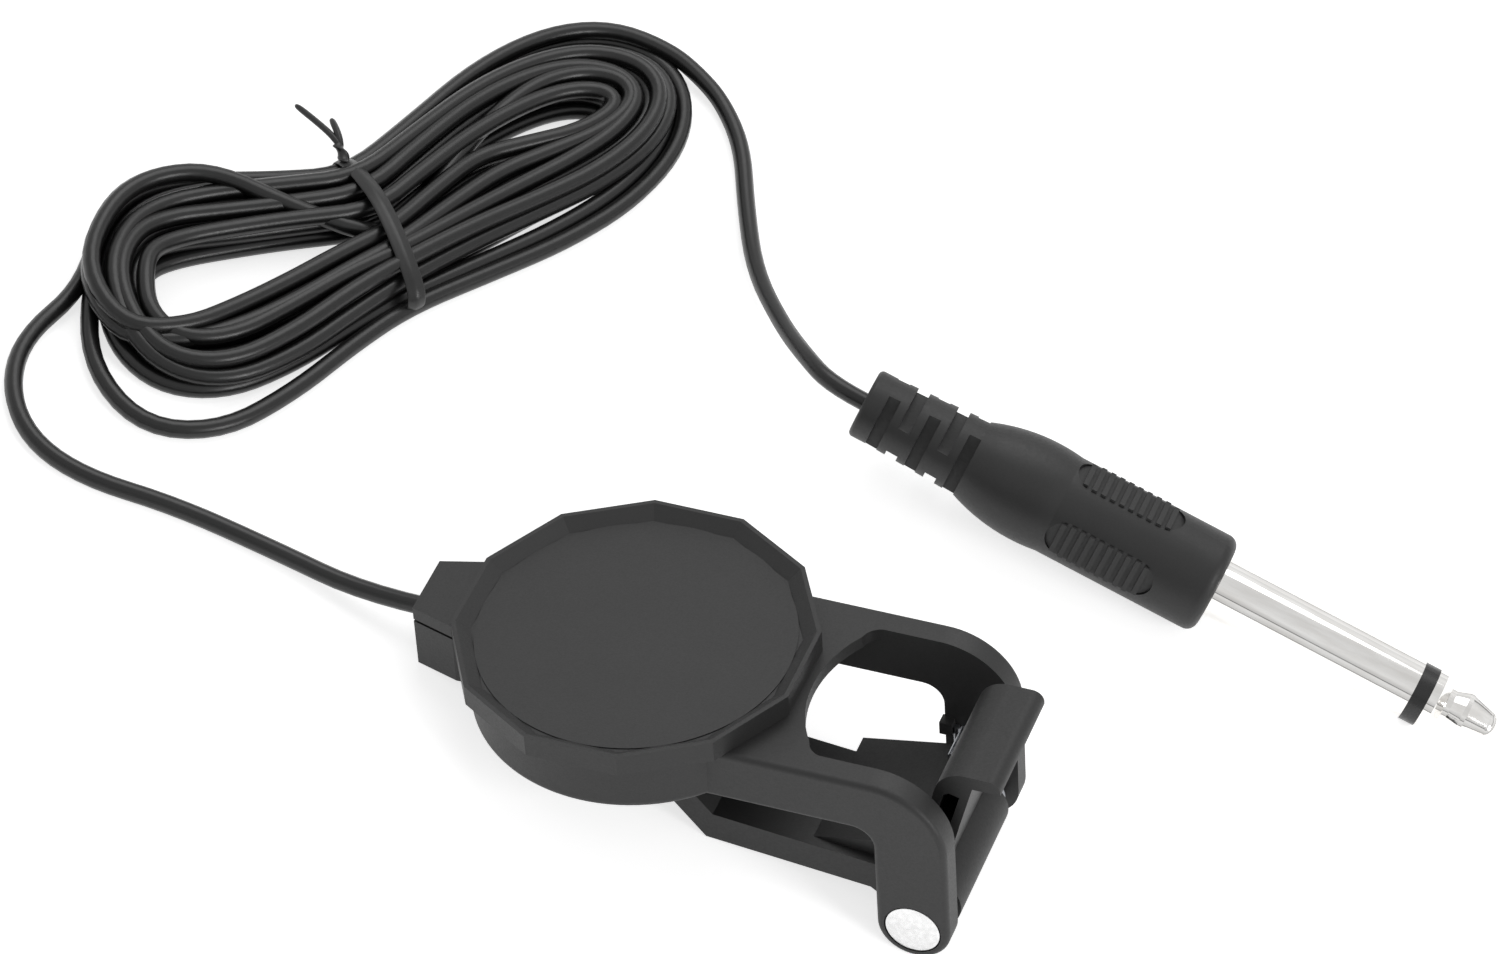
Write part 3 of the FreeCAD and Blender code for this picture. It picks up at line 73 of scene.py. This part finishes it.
def finishMaterial(tree, shader):
    addNode(tree, "OutputMaterial", links={"Surface": shader.outputs[0]})


def dress(mat, *names):
    for name in names:
        target = nodes[name]
        target.data.materials.clear()
        target.data.materials.append(mat)


def nothingSelected():
    if bpy.context.object and bpy.context.object.mode != "OBJECT":
        bpy.ops.object.mode_set(mode="OBJECT")
    bpy.ops.object.select_all(action="DESELECT")


# The photograph's view: a long lens, high over the near right corner
camera = {
    "place": (0.046797, -0.436676, 0.505554),
    "right": (0.909877, 0.347935, 0.226876),
    "down": (0.407186, -0.643848, -0.647825),
    "into": (-0.079324, 0.681824, -0.727203),
    "lens": 164.09,
}


def makeCamera(spec):
    data = bpy.data.cameras.new("camera")
    data.sensor_width = 36
    data.lens = spec["lens"]
    data.clip_start = 0.01
    data.clip_end = 20
    cam = bpy.data.objects.new("camera", data)
    bpy.context.scene.collection.objects.link(cam)
    into = Vector(spec["into"]).normalized()
    right = Vector(spec["right"])
    right = (right - into * right.dot(into)).normalized()
    up = right.cross(into)
    turned = Matrix((right, up, -into)).transposed().to_4x4()
    cam.matrix_world = Matrix.Translation(Vector(spec["place"])) @ turned
    bpy.context.scene.camera = cam
    return cam


print("camera")
makeCamera(camera)


# The lead: one cable from the clip, round the tied hank and on to the plug. Millimetres.
lead = {
    "diameter": 1.9,
    "length": 2370,
    "toHank": [
        (-29.585, 0.0, 4.065), (-36.28, 0.0, 2.02), (-46.0, 1.1, 1.1), (-57.0, 1.2, 0.95),
        (-66.4, -0.4, 0.95), (-73.2, 1.3, 0.95), (-77.7, 6.6, 0.95), (-79.2, 13.4, 0.95)],
    "toPlug": [
        (-33.0, 86.4, 1.5), (-29.6, 84.6, 0.95), (-25.6, 79.8, 0.95), (-22.2, 72.0, 0.95),
        (-17.9, 62.9, 1.7), (-12.3, 54.5, 4.6), (-8.4, 49.2, 7.3), (-4.6, 45.56, 8.79),
        (-0.715, 45.52, 8.475)],
    # one turn, clockwise from the hank's left end: the outermost run and the innermost
    "outer": [
        (-77.0, 21.8), (-78.7, 31.0), (-77.4, 37.6), (-72.6, 42.6), (-66.4, 46.6), (-60.3, 51.2),
        (-57.4, 61.2), (-54.2, 73.0), (-49.6, 81.8), (-44.0, 86.6), (-37.6, 87.0), (-33.2, 82.8),
        (-31.4, 75.4), (-32.6, 66.0), (-36.4, 56.6), (-41.6, 48.0), (-47.2, 39.0), (-50.2, 31.4),
        (-53.4, 22.6), (-58.0, 15.6), (-64.4, 12.6), (-71.2, 14.6)],
    "inner": [
        (-71.4, 24.6), (-72.2, 28.0), (-70.2, 31.4), (-66.4, 35.2), (-61.4, 39.8), (-54.6, 45.6),
        (-52.9, 53.4), (-51.2, 63.2), (-48.2, 71.8), (-44.4, 76.4), (-40.6, 77.0), (-39.0, 74.4),
        (-40.5, 69.6), (-43.5, 64.6), (-46.6, 59.4), (-49.6, 53.2), (-52.8, 44.4), (-55.7, 39.6),
        (-58.9, 33.0), (-62.0, 27.0), (-65.3, 23.2), (-68.5, 21.9)],
    # eight places round a turn, by station: left end, far left, far waist, far right, right end,
    # near right, near waist and near left
    "places": [0, 2.75, 5.5, 8.25, 11, 13.75, 16.5, 19.25],
    # the lane of each turn, 0 at the inner run and 1 at the outer one, and its layer
    "lanes": [
        (1.00, 0), (0.82, 0), (0.63, 0), (0.44, 0), (0.25, 0), (0.05, 0), (0.15, 1), (0.34, 1), (0.53, 1),
        (0.73, 1), (0.62, 2), (0.40, 2), (0.06, 2), (0.28, 2), (0.92, 1)],
    # height of the layers' middle lines at the eight places
    "layers": [
        (1.25, 3.10, 4.80), (0.95, 2.45, 3.95), (0.95, 2.57, 4.20), (0.95, 2.40, 3.90), (0.95, 2.50, 4.00),
        (0.95, 2.25, 3.60), (0.95, 2.57, 4.20), (0.95, 2.20, 3.50)],
    # how far the inner lanes close in on each other there
    "close": [0.0, 0.0, 0.0, 0.34, 0.05, 0.30, 0.0, 0.0],
    # turns that leave their lane: the one that crosses the left end on top, and the last one
    "leaps": {
        (0, 5): (0.97, 0.95), (12, 7): (0.02, 3.9), (13, 0): (1.04, 5.1), (13, 1): (0.80, 5.3),
        (13, 2): (-0.38, 2.7), (14, 0): (0.98, 3.4), (14, 3): (1.00, 2.6), (14, 4): (1.10, 2.0)},
    # how far each turn strays to and fro on its way
    "stray": [0.0, 0.03, -0.03, 0.03, -0.02, 0.03, -0.06, 0.05, -0.05, 0.06, -0.06, 0.08, 0.03, 0.02, 0.02],
    # the loose loop that hangs out of the bundle by the left end: station of the first turn, how far
    "loose": {17: 0.02, 18: 0.10, 19: 0.26, 20: 0.40, 21: 0.34},
    # the last turn leaves the bundle after this station
    "leave": 10,
}


def laneAt(spec, turn, place):
    # distance out and height of a turn at one of the eight places; the ninth is the next turn's first
    if place == len(spec["places"]):
        if turn + 1 < len(spec["lanes"]):
            return laneAt(spec, turn + 1, 0)
        place = 0
    out, layer = spec["lanes"][turn]
    out -= (1 - out) * spec["close"][place]
    return spec["leaps"].get((turn, place), (out, spec["layers"][place][layer]))


def laneBetween(spec, turn, station):
    # eased from one place to the next
    stops = spec["places"] + [len(spec["outer"])]
    for place in range(len(spec["places"])):
        if stops[place] <= station <= stops[place + 1]:
            share = (station - stops[place]) / (stops[place + 1] - stops[place])
            share = share * share * (3 - 2 * share)
            low, high = laneAt(spec, turn, place), laneAt(spec, turn, place + 1)
            return [a + (b - a) * share for a, b in zip(low, high)]


def hankPoints(spec):
    points = []
    last = len(spec["lanes"]) - 1
    for turn in range(last + 1):
        for station in range(len(spec["outer"])):
            if turn == last and station > spec["leave"]:
                break
            out, height = laneBetween(spec, turn, station)
            out += spec["stray"][turn] * math.sin(station * 0.86 + turn * 1.9)
            if turn == 0:
                out += spec["loose"].get(station, 0)
            inside, outside = (Vector(spec[key][station]) for key in ("inner", "outer"))
            flat = inside + (outside - inside) * out
            points.append((flat.x, flat.y, height))
    return points


def makeCord(spec):
    points = spec["toHank"] + hankPoints(spec) + spec["toPlug"]
    data = bpy.data.curves.new("lead", "CURVE")
    data.dimensions = "3D"
    spline = data.splines.new("NURBS")
    spline.points.add(len(points) - 1)
    for point, place in zip(spline.points, points):
        point.co = (place[0] * mm, place[1] * mm, place[2] * mm, 1)
        point.radius = spec["diameter"] / 2 * mm  # also keeps the curve's own bounds true
    spline.order_u = 3
    spline.use_endpoint_u = True
    data.resolution_u = 5
    data.bevel_depth = 1.0
    data.bevel_resolution = 3
    data.use_fill_caps = True
    cord = bpy.data.objects.new("lead", data)
    bpy.context.scene.collection.objects.link(cord)
    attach(cord, "housing")
    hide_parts("cable_to_coil", "cable_coil", "cable_to_plug")
    return cord


print("lead")
cord = makeCord(lead)


# The twist tie: a flat strip with a wire in its middle, round the waist of the hank. Millimetres.
tie = {
    "middle": (-53.75, 45.0), "across": (0.727, -0.686),
    "wide": 2.1, "thick": 0.55, "ridge": 1.6,
    # its loop in the plane across the hank: along the strip, then height
    "loop": [
        (0.0, 0.30), (4.6, 0.30), (8.0, 0.40), (9.6, 1.10), (10.0, 2.4), (9.2, 3.7), (6.8, 4.7),
        (3.6, 5.5), (0.6, 5.95), (-2.4, 5.95), (-5.4, 5.2), (-7.9, 4.4), (-9.6, 3.5), (-10.2, 2.4),
        (-9.8, 1.10), (-8.2, 0.40), (-4.6, 0.30)],
    "knot": {"place": (-60.1, 50.7, 3.9), "along": (-0.72, 0.62, 0.25), "step": 0.45, "steps": 6, "turn": 50,
             "wide": 1.5, "thick": 0.8},
    # the two ends past the knot: heading on the floor in degrees, then the way out and the height
    "tails": [
        {"from": (-61.5, 52.1), "heading": 151, "path": [
            (0.0, 4.5), (1.4, 4.8), (3.2, 4.6), (5.4, 4.2), (7.8, 3.7)], "wide": 0.8, "thick": 0.6},
        {"from": (-61.5, 52.1), "heading": 128, "path": [
            (0.0, 4.4), (1.0, 4.9), (2.2, 4.9), (4.2, 4.5)], "wide": 0.8, "thick": 0.6}],
}


def startSection(name, spec):
    # a flat oval in the floor plane, ready to be extruded; the wire makes it thicker in its middle
    nothingSelected()
    bpy.ops.mesh.primitive_circle_add(vertices=12, radius=0.5, fill_type="NOTHING", location=(0, 0, 0))
    piece = bpy.context.object
    piece.name = name
    bpy.ops.object.mode_set(mode="EDIT")
    bpy.ops.mesh.select_all(action="SELECT")
    bpy.ops.transform.resize(value=(spec["thick"] * mm, spec["wide"] * mm, 1), center_override=(0, 0, 0))
    bpy.ops.mesh.select_all(action="DESELECT")
    bpy.ops.object.mode_set(mode="OBJECT")
    for vertex in piece.data.vertices:
        vertex.select = abs(vertex.co.y) < spec["wide"] * mm * 0.1
    bpy.ops.object.mode_set(mode="EDIT")
    bpy.ops.transform.resize(value=(spec.get("ridge", 1.2), 1, 1), center_override=(0, 0, 0))
    bpy.ops.mesh.select_all(action="SELECT")
    return piece


def closeSection(piece, joined):
    # the last ring bridged to the first one, or both of them capped
    if joined:
        bpy.ops.mesh.select_all(action="DESELECT")
        bpy.ops.mesh.select_non_manifold()
        bpy.ops.mesh.bridge_edge_loops()
    else:
        bpy.ops.mesh.select_all(action="SELECT")
        bpy.ops.mesh.fill_holes(sides=0)
    bpy.ops.mesh.select_all(action="SELECT")
    bpy.ops.mesh.normals_make_consistent(inside=False)
    bpy.ops.object.mode_set(mode="OBJECT")


def sweepStrip(name, spec, path, joined):
    # the section goes from point to point of an upright plane, turned halfway at each corner
    piece = startSection(name, spec)
    last = len(path) - 1
    headings = []
    for i in range(len(path)):
        behind = path[i - 1] if joined or i else path[0]
        ahead = path[(i + 1) % len(path)] if joined or i < last else path[last]
        headings.append(math.atan2(ahead[0] - behind[0], ahead[1] - behind[1]))
    here = (path[0][0] * mm, 0, path[0][1] * mm)
    # the operator turns the other way round without a window
    bpy.ops.transform.rotate(value=-headings[0], orient_axis="Y", center_override=(0, 0, 0))
    bpy.ops.transform.translate(value=here)
    for i in range(1, len(path)):
        there = (path[i][0] * mm, 0, path[i][1] * mm)
        bpy.ops.mesh.extrude_region_move(
            TRANSFORM_OT_translate={"value": (there[0] - here[0], 0, there[2] - here[2])})
        swing = (headings[i] - headings[i - 1] + math.pi) % math.tau - math.pi
        bpy.ops.transform.rotate(value=-swing, orient_axis="Y", center_override=there)
        here = there
    closeSection(piece, joined)
    return piece


def twistKnot(name, spec):
    # the two ends wound round each other: a section that turns as it rises, then is laid over
    piece = startSection(name, spec)
    for i in range(spec["steps"]):
        bpy.ops.mesh.extrude_region_move(TRANSFORM_OT_translate={"value": (0, 0, spec["step"] * mm)})
        bpy.ops.transform.rotate(
            value=math.radians(spec["turn"]), orient_axis="Z", center_override=(0, 0, 0))
    closeSection(piece, False)
    piece.rotation_euler = Vector(spec["along"]).to_track_quat("Z", "Y").to_euler()
    piece.location = Vector(spec["place"]) * mm
    return piece


def makeTie(spec):
    band = sweepStrip("tieBand", spec, spec["loop"], True)
    band.rotation_euler = (0, 0, math.atan2(spec["across"][1], spec["across"][0]))
    band.location = Vector((*spec["middle"], 0)) * mm
    parts = [band, twistKnot("tieKnot", spec["knot"])]
    for number, tail in enumerate(spec["tails"]):
        end = sweepStrip("tieTail" + str(number), tail, tail["path"], False)
        end.rotation_euler = (0, 0, math.radians(tail["heading"]))
        end.location = Vector((*tail["from"], 0)) * mm
        parts.append(end)
    nothingSelected()
    for part in parts:
        part.select_set(True)
    bpy.context.view_layer.objects.active = band
    bpy.ops.object.transform_apply(location=True, rotation=True, scale=True)
    bpy.ops.object.join()
    band.name = "twistTie"
    soften = band.modifiers.new("soften", "SUBSURF")
    soften.levels = soften.render_levels = 2
    bpy.ops.object.modifier_apply(modifier=soften.name)
    bpy.ops.object.shade_smooth()
    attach(band, "housing")
    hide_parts("twist_tie")
    return band


print("tie")
twistTie = makeTie(tie)


def mouldedPlastic(name, look):
    # ABS from a spark-eroded mould: a fine even grain, with faint cloudy changes in gloss
    mat, tree = newMaterial(name)
    place = addNode(tree, "TexCoord")
    grain = addNode(tree, "TexNoise", inputs={"Scale": 1000 / look["grain"], "Detail": 3.0, "Roughness": 0.6},
                    links={"Vector": place.outputs["Object"]})
    cloud = addNode(tree, "TexNoise", inputs={"Scale": 1000 / look["cloud"], "Detail": 2.0},
                    links={"Vector": place.outputs["Object"]})
    tone = addNode(tree, "ValToRGB", links={"Fac": cloud.outputs["Fac"]})
    setRamp(tone.color_ramp, [(0.3, hexColour(look["dark"])), (0.7, hexColour(look["light"]))])
    gloss = addNode(tree, "MapRange", inputs={"From Min": 0.3, "From Max": 0.7,
                                              "To Min": look["rough"][0], "To Max": look["rough"][1]},
                    links={"Value": grain.outputs["Fac"]})
    bump = addNode(tree, "Bump", inputs={"Strength": look["bump"], "Distance": look["depth"] * mm},
                   links={"Height": grain.outputs["Fac"]})
    shader = addNode(tree, "BsdfPrincipled", inputs={"IOR": look["ior"]},
                     links={"Base Color": tone.outputs["Color"], "Roughness": gloss.outputs["Result"],
                            "Normal": bump.outputs["Normal"]})
    finishMaterial(tree, shader)
    return mat


def platedMetal(name, look):
    # a bright metal: broad soft streaks in its gloss from turning and polishing
    mat, tree = newMaterial(name)
    place = addNode(tree, "TexCoord")
    stretch = addNode(tree, "Mapping", inputs={"Scale": look["stretch"]},
                      links={"Vector": place.outputs["Object"]})
    streak = addNode(tree, "TexNoise", inputs={"Scale": 1000 / look["streak"], "Detail": 4.0},
                     links={"Vector": stretch.outputs["Vector"]})
    tone = addNode(tree, "ValToRGB", links={"Fac": streak.outputs["Fac"]})
    setRamp(tone.color_ramp, [(0.35, hexColour(look["dark"])), (0.65, hexColour(look["light"]))])
    gloss = addNode(tree, "MapRange", inputs={"From Min": 0.3, "From Max": 0.7,
                                              "To Min": look["rough"][0], "To Max": look["rough"][1]},
                    links={"Value": streak.outputs["Fac"]})
    bump = addNode(tree, "Bump", inputs={"Strength": look["bump"], "Distance": look["depth"] * mm},
                   links={"Height": streak.outputs["Fac"]})
    shader = addNode(tree, "BsdfPrincipled", inputs={"Metallic": 1.0},
                     links={"Base Color": tone.outputs["Color"], "Roughness": gloss.outputs["Result"],
                            "Normal": bump.outputs["Normal"]})
    finishMaterial(tree, shader)
    return mat


looks = {
    # ABS of the cap and the frame, satin and nearly black
    "mouldedAbs": {"dark": "#232323", "light": "#272727", "grain": 0.22, "cloud": 9, "rough": (0.46, 0.58),
                   "bump": 0.35, "depth": 0.03, "ior": 1.53},
    # glass-filled nylon of the jaw: a little greyer and duller
    "mouldedNylon": {"dark": "#202020", "light": "#252525", "grain": 0.26, "cloud": 8, "rough": (0.5, 0.62),
                     "bump": 0.35, "depth": 0.03, "ior": 1.53},
    # soft PVC of the plug's grip and boot, with a fine matt bloom
    "softPvc": {"dark": "#242424", "light": "#2a2a2a", "grain": 0.3, "cloud": 7, "rough": (0.44, 0.56),
                "bump": 0.25, "depth": 0.03, "ior": 1.5},
    # extruded PVC of the cable, smoother than the moulded pieces
    "cableJacket": {"dark": "#151515", "light": "#1a1a1a", "grain": 0.5, "cloud": 12, "rough": (0.28, 0.36),
                    "bump": 0.12, "depth": 0.03, "ior": 1.5},
    # PVC film over the tie's wire
    "tieFilm": {"dark": "#1f1f1f", "light": "#262626", "grain": 0.4, "cloud": 5, "rough": (0.3, 0.42),
                "bump": 0.2, "depth": 0.03, "ior": 1.5},
    # nitrile pads: dead matt
    "nitrilePad": {"dark": "#1a1a1a", "light": "#202020", "grain": 0.35, "cloud": 6, "rough": (0.7, 0.85),
                   "bump": 0.5, "depth": 0.05, "ior": 1.5},
    # polyurethane foam behind the disc
    "foam": {"dark": "#161616", "light": "#222222", "grain": 0.5, "cloud": 3, "rough": (0.85, 0.95),
             "bump": 1.0, "depth": 0.15, "ior": 1.45},
    # hard black plastic rings of the plug
    "phenolic": {"dark": "#151515", "light": "#1b1b1b", "grain": 0.25, "cloud": 5, "rough": (0.25, 0.35),
                 "bump": 0.1, "depth": 0.02, "ior": 1.55},
    # natural and black insulation of the cores
    "coreWhite": {"dark": "#cfcabb", "light": "#d9d5c8", "grain": 0.4, "cloud": 4, "rough": (0.35, 0.45),
                  "bump": 0.1, "depth": 0.02, "ior": 1.5},
    "coreBlack": {"dark": "#1c1c1c", "light": "#242424", "grain": 0.4, "cloud": 4, "rough": (0.35, 0.45),
                  "bump": 0.1, "depth": 0.02, "ior": 1.5},
    # fired piezo ceramic with its silvered face
    "piezoCeramic": {"dark": "#c9c5b8", "light": "#d8d4c9", "grain": 0.3, "cloud": 3, "rough": (0.45, 0.6),
                     "bump": 0.2, "depth": 0.02, "ior": 1.6},
}
metals = {
    # bright nickel on brass
    "brightNickel": {"dark": "#eceae7", "light": "#f7f6f4", "stretch": (0.15, 1, 1), "streak": 0.8,
                     "rough": (0.04, 0.08), "bump": 0.03, "depth": 0.01},
    # turned steel of the rivet pin and its washer
    "turnedSteel": {"dark": "#e2e2e2", "light": "#f4f4f4", "stretch": (1, 0.2, 1), "streak": 0.5,
                    "rough": (0.22, 0.34), "bump": 0.1, "depth": 0.02},
    # drawn spring wire, oiled and a little blue
    "springWire": {"dark": "#8b8d92", "light": "#a4a6aa", "stretch": (1, 0.3, 1), "streak": 0.4,
                   "rough": (0.25, 0.38), "bump": 0.1, "depth": 0.02},
    # rolled brass of the disc and the lugs
    "rolledBrass": {"dark": "#c79a52", "light": "#d9b06a", "stretch": (0.1, 1, 1), "streak": 0.6,
                    "rough": (0.25, 0.38), "bump": 0.1, "depth": 0.01},
    # tin solder, lumpy and half bright
    "solder": {"dark": "#a9abad", "light": "#c6c8ca", "stretch": (1, 1, 1), "streak": 0.9,
               "rough": (0.25, 0.45), "bump": 0.4, "depth": 0.05},
}

print("materials")
made = {name: mouldedPlastic(name, look) for name, look in looks.items()}
made.update({name: platedMetal(name, look) for name, look in metals.items()})
dress(made["mouldedAbs"], "housing_cap", "housing_base", "cable_clamp")
dress(made["mouldedNylon"], "clip_lever")
dress(made["nitrilePad"], "contact_pad", "jaw_pad")
dress(made["rolledBrass"], "piezo_brass_disc", "plug_tip_lug", "plug_sleeve_lug")
dress(made["piezoCeramic"], "piezo_ceramic")
dress(made["foam"], "foam_damper")
dress(made["solder"], "signal_solder", "ground_solder")
dress(made["coreWhite"], "signal_core", "plug_signal_core")
dress(made["coreBlack"], "ground_core", "plug_ground_core")
dress(made["cableJacket"], "cable_end", "plug_cable_end", "cable_to_coil", "cable_coil", "cable_to_plug")
dress(made["tieFilm"], "twist_tie")
dress(made["turnedSteel"], "pivot_pin", "pin_washer")
dress(made["springWire"], "torsion_spring")
dress(made["softPvc"], "plug_moulding")
dress(made["phenolic"], "plug_insulator", "plug_rear_insulator")
dress(made["brightNickel"], "plug_sleeve", "plug_tip")
cord.data.materials.append(made["cableJacket"])
twistTie.data.materials.append(made["tieFilm"])


# A pale studio: white floor and surround, a wide soft lamp behind and above, a smaller one to the right
studio = {
    "floorHex": "#f2f2f2", "floorSize": 6.0, "floorGlow": 0.7,
    # strength of the surround from the dim camera side to the bright far side
    "surround": (0.34, 0.32), "brightSide": (-0.1, 0.75, 0.65),
    # what shiny things see of it, from straight down to straight up: white cards with dark joints
    "cards": [
        (0.00, "#f0f0f0"), (0.49, "#ececec"), (0.505, "#4a4a4a"), (0.53, "#e6e6e6"), (0.66, "#fbfbfb"),
        (0.70, "#fbfbfb"), (0.715, "#3a3a3a"), (0.735, "#d8d8d8"), (0.84, "#f4f4f4"), (1.00, "#dedede")],
    "lamps": [
        {"name": "overhead", "place": (-0.15, 0.42, 0.75), "aim": (-0.01, 0.03, 0.0), "size": 0.7, "watts": 2.1},
        {"name": "right", "place": (0.75, -0.22, 0.42), "aim": (0.0, 0.03, 0.0), "size": 0.35, "watts": 2.0}],
}


def makeStudio(spec):
    nothingSelected()
    bpy.ops.mesh.primitive_plane_add(size=spec["floorSize"], location=(0, 0, 0))
    floor = bpy.context.object
    floor.name = "floor"
    mat, tree = newMaterial("studioPaper")
    paper = addNode(tree, "BsdfDiffuse", inputs={"Color": hexColour(spec["floorHex"]), "Roughness": 0.5})
    glow = addNode(tree, "Emission", inputs={"Color": (1, 1, 1, 1), "Strength": spec["floorGlow"]})
    both = addNode(tree, "AddShader", links={0: paper.outputs[0], 1: glow.outputs[0]})
    path = addNode(tree, "LightPath")
    seen = addNode(tree, "Math", {"operation": "MAXIMUM"}, links={
        0: path.outputs["Is Camera Ray"], 1: path.outputs["Is Glossy Ray"]})
    mix = addNode(tree, "MixShader", links={0: seen.outputs[0], 1: paper.outputs[0], 2: both.outputs[0]})
    finishMaterial(tree, mix)
    floor.data.materials.append(mat)
    world = bpy.data.worlds.new("surround")
    bpy.context.scene.world = world
    world.use_nodes = True
    tree = world.node_tree
    tree.nodes.clear()
    path = addNode(tree, "LightPath")
    place = addNode(tree, "TexCoord")
    side = addNode(tree, "VectorMath", {"operation": "DOT_PRODUCT"}, {1: spec["brightSide"]},
                   {0: place.outputs["Generated"]})
    level = addNode(tree, "MapRange", inputs={
        "From Min": -0.7, "From Max": 0.9, "To Min": spec["surround"][0], "To Max": spec["surround"][1]},
        links={"Value": side.outputs["Value"]})
    gloss = addNode(tree, "MapRange", inputs={"From Min": -0.7, "From Max": 0.9, "To Min": 0.8, "To Max": 1.0},
                    links={"Value": side.outputs["Value"]})
    split = addNode(tree, "SeparateXYZ", links={"Vector": place.outputs["Generated"]})
    rise = addNode(tree, "MapRange", inputs={"From Min": -1.0, "From Max": 1.0},
                   links={"Value": split.outputs["Z"]})
    cards = addNode(tree, "ValToRGB", links={"Fac": rise.outputs["Result"]})
    setRamp(cards.color_ramp, [(stop, hexColour(text)) for stop, text in spec["cards"]])
    soft = addNode(tree, "Background", inputs={"Color": (1, 1, 1, 1)}, links={"Strength": level.outputs["Result"]})
    shiny = addNode(tree, "Background", links={
        "Color": cards.outputs["Color"], "Strength": gloss.outputs["Result"]})
    white = addNode(tree, "Background", inputs={"Color": (1, 1, 1, 1), "Strength": 1.0})
    seen = addNode(tree, "MixShader", links={
        0: path.outputs["Is Glossy Ray"], 1: soft.outputs[0], 2: shiny.outputs[0]})
    sky = addNode(tree, "MixShader", links={
        0: path.outputs["Is Camera Ray"], 1: seen.outputs[0], 2: white.outputs[0]})
    addNode(tree, "OutputWorld", links={"Surface": sky.outputs[0]})
    for lamp in spec["lamps"]:
        data = bpy.data.lights.new(lamp["name"], "AREA")
        data.shape = "DISK"
        data.size = lamp["size"]
        data.energy = lamp["watts"]
        light = bpy.data.objects.new(lamp["name"], data)
        bpy.context.scene.collection.objects.link(light)
        place = Vector(lamp["place"])
        light.location = place
        light.rotation_euler = (Vector(lamp["aim"]) - place).to_track_quat("-Z", "Y").to_euler()


print("studio")
makeStudio(studio)
bpy.context.scene.view_settings.view_transform = "Standard"
